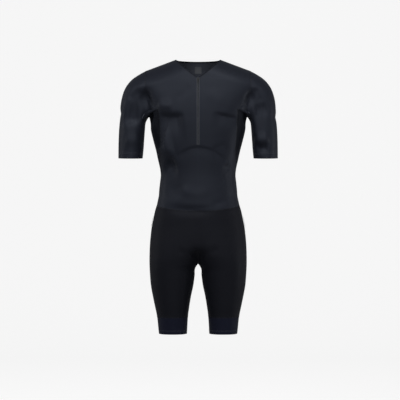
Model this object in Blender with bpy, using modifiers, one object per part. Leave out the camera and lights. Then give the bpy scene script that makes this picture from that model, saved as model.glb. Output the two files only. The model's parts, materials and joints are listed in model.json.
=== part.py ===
"""Short-sleeved triathlon suit, zipped at centre front and filled out as if worn.

Sizes are in millimetres. The wearer faces -Y, Z is up, and the origin lies midway
between the two neck points, where the suit hangs on the wearer's shoulders. The
wearer's left is +X. Each piece of cloth is a wall that follows one smooth hollow
form. Neighbouring pieces share the points and normals of their seam, and each is
trimmed back from it by half of SEAM_GAP, so the two rims of a seam are parallel.
"""

import math

import bmesh
import bpy
import numpy as np
from mathutils import Matrix, Vector

OBJECT_NAME = "triathlon_suit"
MM = 0.001

# Walls and seams
PANEL_WALL = 1.6
BINDING_WALL = 2.0
GRIPPER_WALL = 2.2
TAPE_WALL = 1.2
SEAM_GAP = 0.3

# Roundness of a section: 2 is an ellipse, more is squarer
BODY_ROUNDNESS = 2.3
SLEEVE_ROUNDNESS = 2.1

# Shoulder line: straight from the neck point to the top of the armhole
NECK_HALF = 84.0
ARMHOLE_X = 188.0
SHOULDER_DROP = 39.0
SHOULDER_ROUND = 70.0
SHOULDER_SLOPE = SHOULDER_DROP / (ARMHOLE_X - NECK_HALF)

# Underarm and seams across the body
UNDERARM_Z = -198.0
SIDE_TOP_Z = -180.0
WAIST_SIDE_Z = -527.0
WAIST_DIP_FRONT = 15.0
WAIST_DIP_BACK = 6.0
CROTCH_Z = -733.0
CROTCH_SOFTENING = 22.0
CROTCH_SOFTENING_RISE = 45.0
GRIPPER_Z = (-922.0, -952.0, -983.0)

BINDING_WIDTH = 5.0

# Zip
ZIP_HALF = 5.0
ZIP_BOTTOM_Z = -308.0
COIL_HALF = 2.0
COIL_WALL = 1.4
COIL_RISE = SEAM_GAP + COIL_WALL

# Zip slider and pull tab, in the frame of the tape: across, down the zip, and out
SLIDER_Z = -76.0
SLIDER_SIZE = (8.4, 11.0, 3.0)
EAR_SIZE = (1.0, 3.6, 4.2)
EAR_X = 2.6
PIN_UP = 3.0
PIN_RADIUS = 0.6
PIN_RISE = 2.6
EYE_RADIUS = 1.7
EYE_HOLE_RADIUS = 1.0
EYE_WIDTH = 3.6
TAB_SIZE = (6.0, 15.0, 1.2)
TAB_START = 3.4
TAB_HOLE_RADIUS = 1.4
TAB_LEAN = 8.0

# Number of cells round half of the front or back, and round a side panel
HALF_CELLS = 8
SIDE_CELLS = 6
FRONT_WAIST_CELLS = 2


def table(names, rows):
    """Return the rows of a table of sizes as named columns."""
    return dict(zip(names.split(), np.array(rows, float).T))


# Level sections of the body above the waist. Above the underarm, half is the width
# that the form would have without the armhole.
TORSO = table(
    "z half front back",
    [
        (-541, 154.5, 104.5, 101),
        (-523, 149, 104, 97),
        (-505, 145, 102.5, 93),
        (-487, 141.5, 101, 89),
        (-469, 140.3, 100, 86),
        (-433, 136.5, 98.3, 83),
        (-415, 134.7, 98, 82),
        (-397, 136, 99, 84),
        (-361, 143.5, 103, 88),
        (-325, 151.5, 108, 94),
        (-289, 161, 112, 101),
        (-253, 169.5, 115.5, 108),
        (-217, 174, 117, 113),
        (-206, 177, 116.5, 114),
        (-198, 180, 116.3, 114.5),
        (-180, 188, 115, 115),
        (-160, 199, 112, 114),
        (-140, 211, 108, 112),
        (-120, 226, 103, 108.5),
        (-100, 243, 97, 104),
        (-80, 262, 91, 98),
        (-60, 282, 84, 92),
        (-30, 306, 74, 80),
        (0, 330, 66, 70),
    ],
)

# Seams of the side panel, as the angle round the section from centre front
SIDE_PANEL = table(
    "z front_seam back_seam",
    [
        (-527, 84, 102),
        (-450, 82, 106),
        (-410, 79, 109),
        (-376, 74, 112),
        (-350, 66, 117),
        (-322, 58.5, 120),
        (-286, 55, 123),
        (-250, 52, 126),
        (-215, 50.5, 129),
        (-180, 46, 134),
    ],
)

# Heights of the rows of cells between the waist and the top of the side panel
TORSO_ROWS = (-500, -467, -433, -397, -361, -332, -308, -280, -250, -216)

# Rows of cells beside the armhole, from centre front or back to the armhole
ARMHOLE_ROWS = table(
    "arm_x arm_z front_x front_z back_x back_z",
    [
        (159, -165.5, ZIP_HALF, -153, 0, -138),
        (175, -149, ZIP_HALF, -126, 0, -98),
        (185.5, -130, ZIP_HALF, -99, 0, -54),
        (ARMHOLE_X, -109, ZIP_HALF, -69, 0, -4.5),
        (ARMHOLE_X, -87.4, 34, -48, 32, -4.2),
        (ARMHOLE_X, -67.9, 56, -29, 58, -3.4),
        (ARMHOLE_X, -52.4, 72, -14, 74, -2.2),
        (ARMHOLE_X, -42.4, 81, -4, 82.5, -0.6),
        (ARMHOLE_X, -39, NECK_HALF, 0, NECK_HALF, 0),
    ],
)
NECKLINE_ROWS = 6

# Sleeve: the outer and inner point of each ring, and its depth to front and back
SLEEVE = table(
    "outer_x outer_z inner_x inner_z front back armhole_share",
    [
        (212, -52, 184, -206, 62, 66, 0.8),
        (238, -70, 187, -217, 62, 65, 0.5),
        (258, -94, 189.3, -229, 61.5, 64, 0.25),
        (270, -120, 190.6, -243, 61, 63, 0.1),
        (278, -155, 192, -258, 60, 62, 0),
        (280, -200, 193.2, -276, 59, 61, 0),
        (284.5, -250, 194.6, -296, 58, 60, 0),
        (286.5, -300, 196, -318, 57, 59, 0),
        (287, -353, 199.5, -353, 56, 57, 0),
    ],
)

# Level sections of one leg. Above the crotch a negative inner edge runs the two
# legs together into the hips.
LEGS = table(
    "z outer inner front back",
    [
        (-983, 141, 40, 64, 67),
        (-955, 144, 38.5, 66, 69),
        (-937, 145.7, 37.5, 68, 71),
        (-919, 148, 36.3, 70, 73),
        (-883, 155.5, 31.5, 76, 79),
        (-847, 163, 25.5, 81, 86),
        (-811, 169.5, 17.7, 86, 93),
        (-775, 172.7, 12.7, 91, 101),
        (-745, 174.3, 9.3, 95, 108),
        (-733, 174.7, 2, 97, 112),
        (-717, 174.8, -12, 99.5, 117),
        (-697, 174.5, -40, 102, 122),
        (-665, 173.3, -88, 104.5, 126),
        (-630, 170.3, -136, 105.5, 124),
        (-595, 166, -166, 105.5, 116),
        (-560, 158.8, -158.8, 105, 106),
        (-541, 154.5, -154.5, 104.5, 101),
        (-523, 149, -149, 104, 97),
    ],
)
SHORTS_ROWS = (-562, -597, -632, -665, -695, -717, CROTCH_Z, -744, -766, -796, -828, -860, -892)


def smooth(table_of_sizes, column, z):
    """Read a column at height z by a smooth curve through the rows of its table."""
    heights = table_of_sizes["z"]
    values = table_of_sizes[column]
    order = np.argsort(heights)
    heights = heights[order]
    values = values[order]
    slopes = np.gradient(values, heights)
    row = int(np.clip(np.searchsorted(heights, z) - 1, 0, len(heights) - 2))
    step = heights[row + 1] - heights[row]
    t = (z - heights[row]) / step
    start = (1 + 2 * t) * (1 - t) ** 2 * values[row] + t * (1 - t) ** 2 * step * slopes[row]
    end = t * t * (3 - 2 * t) * values[row + 1] + t * t * (t - 1) * step * slopes[row + 1]
    return start + end


def bulge(share, roundness):
    """Depth of a rounded section at a share of its half width, 1 in the middle."""
    return max(0.0, 1 - min(1.0, abs(share)) ** roundness) ** (1 / roundness)


def sine_share(degrees, roundness):
    """Share of the half width that a section reaches at an angle from its middle."""
    return math.sin(math.radians(degrees)) ** (2 / roundness)


def shoulder_cap(x, z):
    """How far the body has filled out below the shoulder line, from 0 to 1."""
    below = (SHOULDER_SLOPE * (NECK_HALF - abs(x)) - z) / SHOULDER_ROUND
    return math.sqrt(1 - (1 - min(1.0, max(0.0, below))) ** 2)


def torso_point(x, z, side):
    """Point of the body above the waist, on its front or its back."""
    half = smooth(TORSO, "half", z)
    depth = smooth(TORSO, side, z) * bulge(x / half, BODY_ROUNDNESS) * shoulder_cap(x, z)
    return (x, -depth if side == "front" else depth, z)


def torso_ring_point(degrees, z):
    """Point of the body at an angle from centre front, round the wearer's left side."""
    half = smooth(TORSO, "half", z)
    side = "front" if degrees < 90 else "back"
    depth = smooth(TORSO, side, z) * bulge(sine_share(degrees, BODY_ROUNDNESS), BODY_ROUNDNESS)
    x = half * sine_share(degrees, BODY_ROUNDNESS)
    return (x, -depth if side == "front" else depth, z)


def half_row(inner, outer, side, dip=0.0):
    """Row of points of the front or back, from its middle out to a side seam."""
    half = smooth(TORSO, "half", outer[1])
    end = math.degrees(math.asin(min(1.0, outer[0] / half) ** (BODY_ROUNDNESS / 2)))
    row = []
    for step in range(HALF_CELLS + 1):
        across = sine_share(end * step / HALF_CELLS, BODY_ROUNDNESS) / sine_share(end, BODY_ROUNDNESS)
        x = inner[0] + (outer[0] - inner[0]) * across
        z = inner[1] + (outer[1] - inner[1]) * across - dip * (1 - across**2)
        row.append(torso_point(x, z, side))
    if side == "front":
        row.insert(0, torso_point(0.0, inner[1] - dip, side))
    return row


def torso_half(side):
    """Rows of half the front or back, from the waist to the shoulder line."""
    middle_x = ZIP_HALF if side == "front" else 0.0
    waist_dip = WAIST_DIP_FRONT if side == "front" else WAIST_DIP_BACK
    rows = []
    for z in (WAIST_SIDE_Z, *TORSO_ROWS, SIDE_TOP_Z):
        seam = torso_ring_point(smooth(SIDE_PANEL, side + "_seam", z), z)
        dip = waist_dip if z == WAIST_SIDE_Z else 0.0
        rows.append(half_row((middle_x, z), (seam[0], z), side, dip))
    columns = zip(*(ARMHOLE_ROWS[name] for name in (side + "_x", side + "_z", "arm_x", "arm_z")))
    rows += [half_row((x, z), (arm_x, arm_z), side) for x, z, arm_x, arm_z in columns]
    return rows


def side_panel():
    """Rows of the side panel, front seam to back seam, from the waist to the underarm."""
    rows = []
    for z in (WAIST_SIDE_Z, *TORSO_ROWS, SIDE_TOP_Z):
        first = smooth(SIDE_PANEL, "front_seam", z)
        last = smooth(SIDE_PANEL, "back_seam", z)
        row = []
        for step in range(SIDE_CELLS + 1):
            degrees = first + (last - first) * step / SIDE_CELLS
            from_middle = abs(2 * step / SIDE_CELLS - 1)
            drop = (SIDE_TOP_Z - UNDERARM_Z) * (1 - from_middle**2) if z == SIDE_TOP_Z else 0.0
            row.append(torso_ring_point(degrees, z - drop))
        rows.append(row)
    return rows


def armhole_loop(front_rows, back_rows, side_rows):
    """Points round the armhole from the underarm, up the front and down the back."""
    top_row = side_rows[-1]
    middle = SIDE_CELLS // 2
    rise = len(side_rows) - 1
    front = [row[-1] for row in front_rows[rise:]]
    back = [row[-1] for row in back_rows[rise:-1]]
    return top_row[middle:0:-1] + front + back[::-1] + top_row[-2:middle:-1]


def sleeve_frame(upper, under):
    """Middle of a sleeve ring, half of its width and its direction along the arm."""
    upper = np.array([upper[0], 0.0, upper[1]])
    under = np.array([under[0], 0.0, under[1]])
    half_width = (upper - under) / 2
    along = np.cross(half_width, (0.0, 1.0, 0.0))
    return (upper + under) / 2, half_width, along / np.linalg.norm(along)


def sleeve_rows(loop):
    """Rings of the sleeve from its hem up to the armhole, each starting at the inner arm."""
    top = loop[len(loop) // 2]
    middle, half_width, along = sleeve_frame((top[0], top[2]), (loop[0][0], loop[0][2]))
    reach = np.linalg.norm(half_width)
    depth = {"front": SLEEVE["front"][0], "back": SLEEVE["back"][0]}
    shape = []
    for point in np.array(loop):
        off = point - middle
        side = "front" if point[1] < 0 else "back"
        shape.append((np.dot(off, half_width) / reach**2, point[1] / depth[side], np.dot(off, along)))
    rings = [list(loop)]
    for ring in range(len(SLEEVE["front"])):
        size = {name: values[ring] for name, values in SLEEVE.items()}
        middle, half_width, along = sleeve_frame(
            (size["outer_x"], size["outer_z"]), (size["inner_x"], size["inner_z"])
        )
        row = []
        for step, (across, out, offset) in enumerate(shape):
            turn = 2 * math.pi * step / len(shape)
            side = "front" if out < 0 or 0 < step < len(shape) / 2 else "back"
            round_across = -math.copysign(abs(math.cos(turn)) ** (2 / SLEEVE_ROUNDNESS), math.cos(turn))
            round_out = -math.copysign(abs(math.sin(turn)) ** (2 / SLEEVE_ROUNDNESS), math.sin(turn))
            share = size["armhole_share"]
            point = middle + half_width * (share * across + (1 - share) * round_across)
            point += along * offset * share
            point[1] = size[side] * (share * out + (1 - share) * round_out)
            row.append(tuple(point))
        rings.append(row)
    return rings[::-1]


def leg_point(share, z, side):
    """Point of the shorts at a share of the way from their middle or inseam to the side."""
    outer = smooth(LEGS, "outer", z)
    inner = max(-outer, smooth(LEGS, "inner", z)) if z != CROTCH_Z else 0.0
    middle = (outer + inner) / 2
    half = (outer - inner) / 2
    reach = min(1.0, middle / half)
    start = -math.degrees(math.asin(reach ** (BODY_ROUNDNESS / 2)))
    angle = start + (90 - start) * share
    x = middle + half * math.copysign(sine_share(abs(angle), BODY_ROUNDNESS), angle)
    softening = CROTCH_SOFTENING * min(1.0, max(0.0, (z - CROTCH_Z) / CROTCH_SOFTENING_RISE))
    widened = x + softening * math.exp(-x / max(softening, 0.1))
    across = (widened - middle) / half
    depth = smooth(LEGS, side, z) * bulge(across, BODY_ROUNDNESS)
    return (x, -depth if side == "front" else depth, z)


def shorts_half(side, waist_row, heights):
    """Rows of half the shorts front or back, from the hem seam up to the waist row."""
    cells = len(waist_row) - 1
    waist_half = waist_row[-1][0]
    waist_shares = [
        math.degrees(math.asin(min(1.0, point[0] / waist_half) ** (BODY_ROUNDNESS / 2))) / 90
        for point in waist_row
    ]
    rows = [waist_row]
    for z in heights:
        even = min(1.0, (WAIST_SIDE_Z - z) / (WAIST_SIDE_Z - CROTCH_Z))
        shares = [(1 - even) * waist_shares[i] + even * i / cells for i in range(cells + 1)]
        rows.append([leg_point(share, z, side) for share in shares])
    return rows[::-1]


def mirrored(rows):
    """The same rows on the wearer's other side, still running the same way round."""
    return [[(-x, y, z) for x, y, z in row][::-1] for row in rows]


def reversed_rows(rows):
    """Rows of a back half, turned to run the way a front half does, seen from outside."""
    return [row[::-1] for row in rows]


class Surface:
    """Outer face of one piece of cloth, gathered from grids of points."""

    def __init__(self, wall):
        self.wall = wall
        self.points = []
        self.quads = []
        self.index = {}

    def vertex(self, point):
        """Index of a point, shared by every cell that meets there."""
        key = seam_key(point)
        if key not in self.index:
            self.index[key] = len(self.points)
            self.points.append(np.array(point, float))
        return self.index[key]

    def add_grid(self, rows, closed=False, turned=False):
        """Add cells between rows that run anticlockwise from above, lowest row first.

        A turned grid starts each cell at its next corner, so that mirrored cells split alike.
        """
        for low, high in zip(rows, rows[1:]):
            for step in range(len(low) - (0 if closed else 1)):
                after = (step + 1) % len(low)
                corners = [low[step], low[after], high[after], high[step]]
                if turned:
                    corners = corners[1:] + corners[:1]
                self.quads.append([self.vertex(corner) for corner in corners])
        return self

    def add_mirrored(self, rows, closed=False):
        """Add the same grid on the wearer's other side."""
        return self.add_grid(mirrored(rows), closed, turned=True)


def seam_key(point):
    """Key that points at the same place share."""
    return tuple(round(float(value), 3) + 0.0 for value in point)


def shared_normals(surfaces):
    """Outward normal at every point, averaged over all the pieces that meet there."""
    sums = {}
    for surface in surfaces:
        for quad in surface.quads:
            a, b, c, d = (surface.points[i] for i in quad)
            across = np.cross(c - a, d - b)
            for corner in quad:
                key = seam_key(surface.points[corner])
                sums[key] = sums.get(key, 0) + across / (np.linalg.norm(across) ** 0.5 + 1e-9)
    return {key: value / np.linalg.norm(value) for key, value in sums.items()}


def trimmed_points(surface, normals):
    """Outer points, with each edge drawn back by half of the seam gap."""
    edges = {}
    for quad in surface.quads:
        for a, b in zip(quad, quad[1:] + quad[:1]):
            edges[(a, b)] = edges.get((a, b), 0) + 1
    border = [(a, b) for a, b in edges if (b, a) not in edges]
    inward = {}
    for a, b in border:
        along = surface.points[b] - surface.points[a]
        for end in (a, b):
            into = np.cross(normals[end], along)
            inward.setdefault(end, []).append(into / np.linalg.norm(into))
    points = [point.copy() for point in surface.points]
    for corner, (first, second) in inward.items():
        points[corner] += SEAM_GAP / 2 * (first + second) / (1 + np.dot(first, second))
    return points, border


def principled(name, color, roughness, metallic=0.0):
    """Material of one finish."""
    material = bpy.data.materials.new(name)
    material.use_nodes = True
    shader = material.node_tree.nodes["Principled BSDF"]
    shader.inputs["Base Color"].default_value = (*color, 1.0)
    shader.inputs["Roughness"].default_value = roughness
    shader.inputs["Metallic"].default_value = metallic
    return material


def place(name, mesh, material, collection):
    """Object of a finished mesh, in the suit's collection."""
    mesh.materials.append(material)
    made = bpy.data.objects.new(name, mesh)
    collection.objects.link(made)
    return made


def add_wall(name, surface, normals, material, collection):
    """Closed wall of cloth: the outer face, the inner face, and the rim between them."""
    own = [normals[seam_key(point)] for point in surface.points]
    outer, border = trimmed_points(surface, own)
    inner = [point - normal * surface.wall for point, normal in zip(outer, own)]
    count = len(outer)
    faces = [list(quad) for quad in surface.quads]
    faces += [[corner + count for corner in quad][::-1] for quad in surface.quads]
    faces += [[b, a, a + count, b + count] for a, b in border]
    mesh = bpy.data.meshes.new(name)
    mesh.from_pydata([Vector(point) * MM for point in outer + inner], [], faces)
    shape = bmesh.new()
    shape.from_mesh(mesh)
    bmesh.ops.dissolve_degenerate(shape, dist=1e-7, edges=shape.edges)
    shape.to_mesh(mesh)
    shape.free()
    mesh.shade_smooth()
    mesh.set_sharp_from_angle(angle=math.radians(50))
    made = place(name, mesh, material, collection)
    fixed = made.modifiers.new("Even_split", "TRIANGULATE")
    fixed.quad_method = "FIXED"
    return made


def binding_rows(neckline, normals):
    """Rows of the neck binding, from its seam up to the edge of the neck."""
    edge = []
    for step, point in enumerate(neckline):
        before = np.array(neckline[max(0, step - 1)])
        after = np.array(neckline[min(len(neckline) - 1, step + 1)])
        normal = normals[seam_key(point)]
        up = np.cross(normal, after - before)
        edge.append(tuple(np.array(point) + BINDING_WIDTH * up / np.linalg.norm(up)))
    return [list(neckline), edge]


def moved_out(rows, normals, distance):
    """Rows of points moved outward along the normals of the piece that they lie on."""
    return [[tuple(np.array(p) + distance * normals[seam_key(p)]) for p in row] for row in rows]


def strip_rows(rows, half):
    """Rows of a narrow strip on the zip tape, to each side of its middle."""
    strip = []
    for row in rows:
        left, middle, right = (np.array(point) for point in row)
        share = half / ZIP_HALF
        strip.append([tuple(middle + (left - middle) * share), tuple(middle), tuple(middle + (right - middle) * share)])
    return strip


def add_cloth(collection, finishes):
    """Build every piece of cloth and the zip's tape and coil."""
    front_half = torso_half("front")
    back_half = torso_half("back")
    side_left = side_panel()
    loop = armhole_loop(front_half, back_half, side_left)
    sleeve_left = sleeve_rows(loop)

    zip_row = 1 + TORSO_ROWS.index(ZIP_BOTTOM_Z)
    neck_row = len(front_half) - NECKLINE_ROWS
    front = Surface(PANEL_WALL)
    for rows in ([row[1:] for row in front_half], [row[:2] for row in front_half[: zip_row + 1]]):
        front.add_grid(rows).add_mirrored(rows)
    back = Surface(PANEL_WALL)
    back.add_grid(reversed_rows(back_half)).add_mirrored(reversed_rows(back_half))

    tape_rows = [row[:2] for row in front_half[zip_row : neck_row + 1]]
    tape_rows = [[(-x, y, z), (0.0, y, z), (x, y, z)] for _, (x, y, z) in tape_rows]

    front_waist = front_half[0] + side_left[0][1 : FRONT_WAIST_CELLS + 1]
    back_waist = back_half[0] + side_left[0][-2 : FRONT_WAIST_CELLS - 1 : -1]
    shorts = {}
    grippers = {}
    for side, waist in (("front", front_waist), ("back", back_waist)):
        rows = shorts_half(side, waist, (*SHORTS_ROWS, GRIPPER_Z[0]))
        band = shorts_half(side, waist, GRIPPER_Z)[:-1]
        if side == "back":
            rows = reversed_rows(rows)
            band = reversed_rows(band)
        shorts[side] = Surface(PANEL_WALL).add_grid(rows).add_mirrored(rows)
        grippers[side] = band
    gripper_left = [a[:-1] + b[:-1] for a, b in zip(grippers["front"], grippers["back"])]

    surfaces = {
        "front": front,
        "back": back,
        "side_panel_left": Surface(PANEL_WALL).add_grid(side_left),
        "side_panel_right": Surface(PANEL_WALL).add_mirrored(side_left),
        "sleeve_left": Surface(PANEL_WALL).add_grid(sleeve_left, closed=True),
        "sleeve_right": Surface(PANEL_WALL).add_mirrored(sleeve_left, closed=True),
        "shorts_front": shorts["front"],
        "shorts_back": shorts["back"],
        "gripper_left": Surface(GRIPPER_WALL).add_grid(gripper_left, closed=True),
        "gripper_right": Surface(GRIPPER_WALL).add_mirrored(gripper_left, closed=True),
        "zip_tape": Surface(TAPE_WALL).add_grid(tape_rows),
    }
    normals = shared_normals(surfaces.values())
    front_neck = [row[1] for row in front_half[neck_row:]]
    back_neck = [row[0] for row in back_half[neck_row:-1]]
    left_neck = front_neck + back_neck[::-1]
    right_neck = [(-x, y, z) for x, y, z in left_neck[:-1]][::-1]
    binding = binding_rows(left_neck + right_neck, normals)
    surfaces["neck_binding"] = Surface(BINDING_WALL).add_grid(binding)
    normals = shared_normals(surfaces.values())

    for name, surface in surfaces.items():
        add_wall(name, surface, normals, finishes[name], collection)

    coil_rows = [row for row in tape_rows if row[0][2] < SLIDER_Z - SLIDER_SIZE[1] / 2]
    coil = Surface(COIL_WALL).add_grid(strip_rows(moved_out(coil_rows, normals, COIL_RISE), COIL_HALF))
    add_wall("zip_coil", coil, shared_normals([coil]), finishes["zip_coil"], collection)


def box(name, size, middle):
    """Mesh object of a box, placed by its own points."""
    shape = bmesh.new()
    bmesh.ops.create_cube(shape, size=1.0)
    bmesh.ops.scale(shape, vec=Vector(size) * MM, verts=shape.verts)
    bmesh.ops.translate(shape, vec=Vector(middle) * MM, verts=shape.verts)
    return finished(name, shape)


def rod(name, radius, length, middle, axis):
    """Mesh object of a round bar that runs across or out of the zip."""
    shape = bmesh.new()
    bmesh.ops.create_cone(
        shape, segments=20, radius1=radius * MM, radius2=radius * MM, depth=length * MM, cap_ends=True
    )
    if axis == "X":
        bmesh.ops.rotate(shape, matrix=Matrix.Rotation(math.pi / 2, 3, "Y"), verts=shape.verts)
    bmesh.ops.translate(shape, vec=Vector(middle) * MM, verts=shape.verts)
    return finished(name, shape)


def finished(name, shape):
    """Object of a bmesh, not yet in any collection."""
    mesh = bpy.data.meshes.new(name)
    shape.to_mesh(mesh)
    shape.free()
    return bpy.data.objects.new(name, mesh)


def join_or_cut(made, other, operation, cutters):
    """Join a helper to a piece, or cut it out, and keep the helper out of renders."""
    cutters.objects.link(other)
    other.parent = made
    other.hide_render = True
    other.display_type = "WIRE"
    step = made.modifiers.new(other.name, "BOOLEAN")
    step.operation = operation
    step.object = other


def soften(made, width):
    """Round the edges of a cast piece and shade it smooth."""
    bevel = made.modifiers.new("Soft_edges", "BEVEL")
    bevel.width = width * MM
    bevel.segments = 2
    bevel.limit_method = "ANGLE"
    made.data.shade_smooth()
    made.data.set_sharp_from_angle(angle=math.radians(35))


def zip_frame():
    """Frame on the tape under the slider: X across, Y up the zip, Z out."""
    here = Vector(torso_point(0.0, SLIDER_Z, "front"))
    above = Vector(torso_point(0.0, SLIDER_Z + SLIDER_SIZE[1] / 2, "front"))
    below = Vector(torso_point(0.0, SLIDER_Z - SLIDER_SIZE[1] / 2, "front"))
    up = (above - below).normalized()
    across = Vector((1.0, 0.0, 0.0))
    frame = Matrix((across, up, across.cross(up))).transposed().to_4x4()
    frame.translation = here * MM
    return frame


def add_slider(collection, cutters, finishes):
    """Build the slider with its two ears and pin, and the pull tab that hangs from it."""
    frame = zip_frame()
    top = SEAM_GAP + SLIDER_SIZE[2]
    pin_out = top + PIN_RISE

    slider = box("zip_slider", SLIDER_SIZE, (0, 0, SEAM_GAP + SLIDER_SIZE[2] / 2))
    soften(slider, 0.7)
    for side in (-1, 1):
        ear = box("Slider_ear", EAR_SIZE, (side * EAR_X, PIN_UP, top + EAR_SIZE[2] / 2 - 0.4))
        join_or_cut(slider, ear, "UNION", cutters)
    pin = rod("Slider_pin", PIN_RADIUS, 2 * EAR_X, (0, PIN_UP, pin_out), "X")
    join_or_cut(slider, pin, "UNION", cutters)

    tab = box("zip_pull_tab", TAB_SIZE, (0, -TAB_START - TAB_SIZE[1] / 2, 0))
    soften(tab, 0.35)
    neck_length = TAB_START + 1.0
    neck = box("Tab_neck", (EYE_WIDTH - 0.2, neck_length, TAB_SIZE[2]), (0, -neck_length / 2, 0))
    join_or_cut(tab, neck, "UNION", cutters)
    join_or_cut(tab, rod("Tab_eye", EYE_RADIUS, EYE_WIDTH, (0, 0, 0), "X"), "UNION", cutters)
    hole = rod("Tab_eye_hole", EYE_HOLE_RADIUS, EYE_WIDTH + 2, (0, 0, 0), "X")
    join_or_cut(tab, hole, "DIFFERENCE", cutters)
    grip_up = -TAB_START - TAB_SIZE[1] + 3.2
    grip = rod("Tab_grip_hole", TAB_HOLE_RADIUS, TAB_SIZE[2] + 2, (0, grip_up, 0), "Z")
    join_or_cut(tab, grip, "DIFFERENCE", cutters)

    hinge = frame @ Matrix.Translation(Vector((0, PIN_UP, pin_out)) * MM)
    lean = Matrix.Rotation(math.radians(TAB_LEAN), 4, "X")
    for made, matrix in ((slider, frame), (tab, hinge @ lean)):
        made.matrix_world = matrix
        made.data.materials.append(finishes[made.name])
        collection.objects.link(made)


def make_finishes():
    """Materials by node name."""
    satin = principled("Satin_knit", (0.020, 0.023, 0.031), 0.55)
    matte = principled("Matte_knit", (0.012, 0.012, 0.014), 0.75)
    ribbed = principled("Navy_gripper_knit", (0.012, 0.014, 0.032), 0.7)
    coil = principled("Zip_coil_nylon", (0.045, 0.048, 0.056), 0.45)
    metal = principled("Black_painted_metal", (0.02, 0.02, 0.022), 0.35, 0.6)
    finishes = {name: satin for name in ("front", "back", "sleeve_left", "sleeve_right")}
    finishes |= {name: matte for name in ("side_panel_left", "side_panel_right", "neck_binding")}
    finishes |= {name: matte for name in ("shorts_front", "shorts_back")}
    finishes |= {name: ribbed for name in ("gripper_left", "gripper_right")}
    finishes |= {"zip_tape": coil, "zip_coil": coil, "zip_slider": metal, "zip_pull_tab": metal}
    return finishes


def main():
    """Clear the scene and build the suit."""
    for leftover in list(bpy.data.objects):
        bpy.data.objects.remove(leftover, do_unlink=True)
    collection = bpy.data.collections.new(OBJECT_NAME)
    cutters = bpy.data.collections.new(OBJECT_NAME + "_cutters")
    bpy.context.scene.collection.children.link(collection)
    bpy.context.scene.collection.children.link(cutters)
    cutters.hide_render = True
    finishes = make_finishes()
    add_cloth(collection, finishes)
    add_slider(collection, cutters, finishes)


main()
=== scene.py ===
"""A short-sleeved triathlon suit, cut, sewn and finished on its construction frame.

The suit hangs hollow, as if worn, with its front towards -Y and the wearer's left at +X.
Sizes below are in millimetres unless a name says otherwise, and become metres when a
mesh is made. Every piece of cloth is a thin shell on one smooth form, with its creases
pressed into it afterwards, so that neighbouring pieces still meet along their seams.
"""

import json
import logging
import math
from dataclasses import dataclass, field
from enum import Enum
from typing import ClassVar, Sequence

import bpy
import numpy as np
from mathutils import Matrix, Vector

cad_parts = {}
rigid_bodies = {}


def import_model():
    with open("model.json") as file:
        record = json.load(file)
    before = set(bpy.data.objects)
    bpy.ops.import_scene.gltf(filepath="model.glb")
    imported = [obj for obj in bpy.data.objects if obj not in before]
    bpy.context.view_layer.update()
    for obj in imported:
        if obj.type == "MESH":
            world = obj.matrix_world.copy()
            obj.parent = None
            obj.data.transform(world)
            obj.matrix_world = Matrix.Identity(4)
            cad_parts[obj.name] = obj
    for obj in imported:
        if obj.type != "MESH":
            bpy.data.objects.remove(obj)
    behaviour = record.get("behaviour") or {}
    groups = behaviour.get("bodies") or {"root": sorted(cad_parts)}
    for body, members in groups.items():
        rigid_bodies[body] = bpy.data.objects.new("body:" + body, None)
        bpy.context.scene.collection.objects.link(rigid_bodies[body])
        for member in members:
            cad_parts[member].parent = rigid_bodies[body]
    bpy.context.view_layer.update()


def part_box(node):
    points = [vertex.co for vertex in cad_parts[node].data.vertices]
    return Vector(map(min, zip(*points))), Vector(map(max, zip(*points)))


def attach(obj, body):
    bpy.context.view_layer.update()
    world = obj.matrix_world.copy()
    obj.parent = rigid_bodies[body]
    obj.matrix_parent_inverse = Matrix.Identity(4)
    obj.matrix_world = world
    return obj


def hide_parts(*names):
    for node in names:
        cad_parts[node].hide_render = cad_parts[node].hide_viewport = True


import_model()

LOG = logging.getLogger("triathlon_suit")
MM = 0.001
SUIT_BODY = "suit"
Array = np.ndarray
OTHER_SIDE = np.array([-1.0, 1.0, 1.0])
CLOTH_EDGE = math.radians(55)
PART_EDGE = math.radians(50)


# ---------------------------------------------------------------- curves and tables


def smooth_curve(keys: Array, values: Array, at: Array, flat_end: bool = False) -> Array:
    """Read a curve that passes smoothly through rows of sizes.

    Args:
        keys: Rising keys of the rows.
        values: Value of each row.
        at: Keys to read the curve at.
        flat_end: Whether the curve levels off at its last row.

    Returns:
        The curve's values, in the shape of at.
    """
    slopes = np.gradient(values, keys)
    if flat_end:
        slopes[-1] = 0.0
    row = np.clip(np.searchsorted(keys, at) - 1, 0, len(keys) - 2)
    step = keys[row + 1] - keys[row]
    t = (at - keys[row]) / step
    start = (1 + 2 * t) * (1 - t) ** 2 * values[row] + t * (1 - t) ** 2 * step * slopes[row]
    end = t * t * (3 - 2 * t) * values[row + 1] + t * t * (t - 1) * step * slopes[row + 1]
    return start + end


class SizeTable:
    """Rows of sizes with named columns, read by height or by row number."""

    def __init__(self, names: str, rows: Sequence[Sequence[float]]) -> None:
        """Keep the rows as named columns.

        Args:
            names: Column names, split by spaces.
            rows: One tuple of sizes for each section, ring or row.
        """
        self.columns = dict(zip(names.split(), np.array(rows, float).T))

    def __getitem__(self, name: str) -> Array:
        """Return one column."""
        return self.columns[name]

    def at_height(self, name: str, z: Array) -> Array:
        """Read a column at heights z, from rows listed lowest first."""
        return smooth_curve(self["z"], self[name], np.asarray(z, float))

    def at_row(self, name: str, row: Array) -> Array:
        """Read a column at fractional row numbers."""
        values = self[name]
        return smooth_curve(np.arange(len(values), dtype=float), values, np.asarray(row, float))


class Side(Enum):
    """Front or back of the suit, named as the size tables name their depths."""

    FRONT = "front"
    BACK = "back"

    @property
    def sign(self) -> float:
        """Direction of this side along Y."""
        return -1.0 if self is Side.FRONT else 1.0


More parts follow.
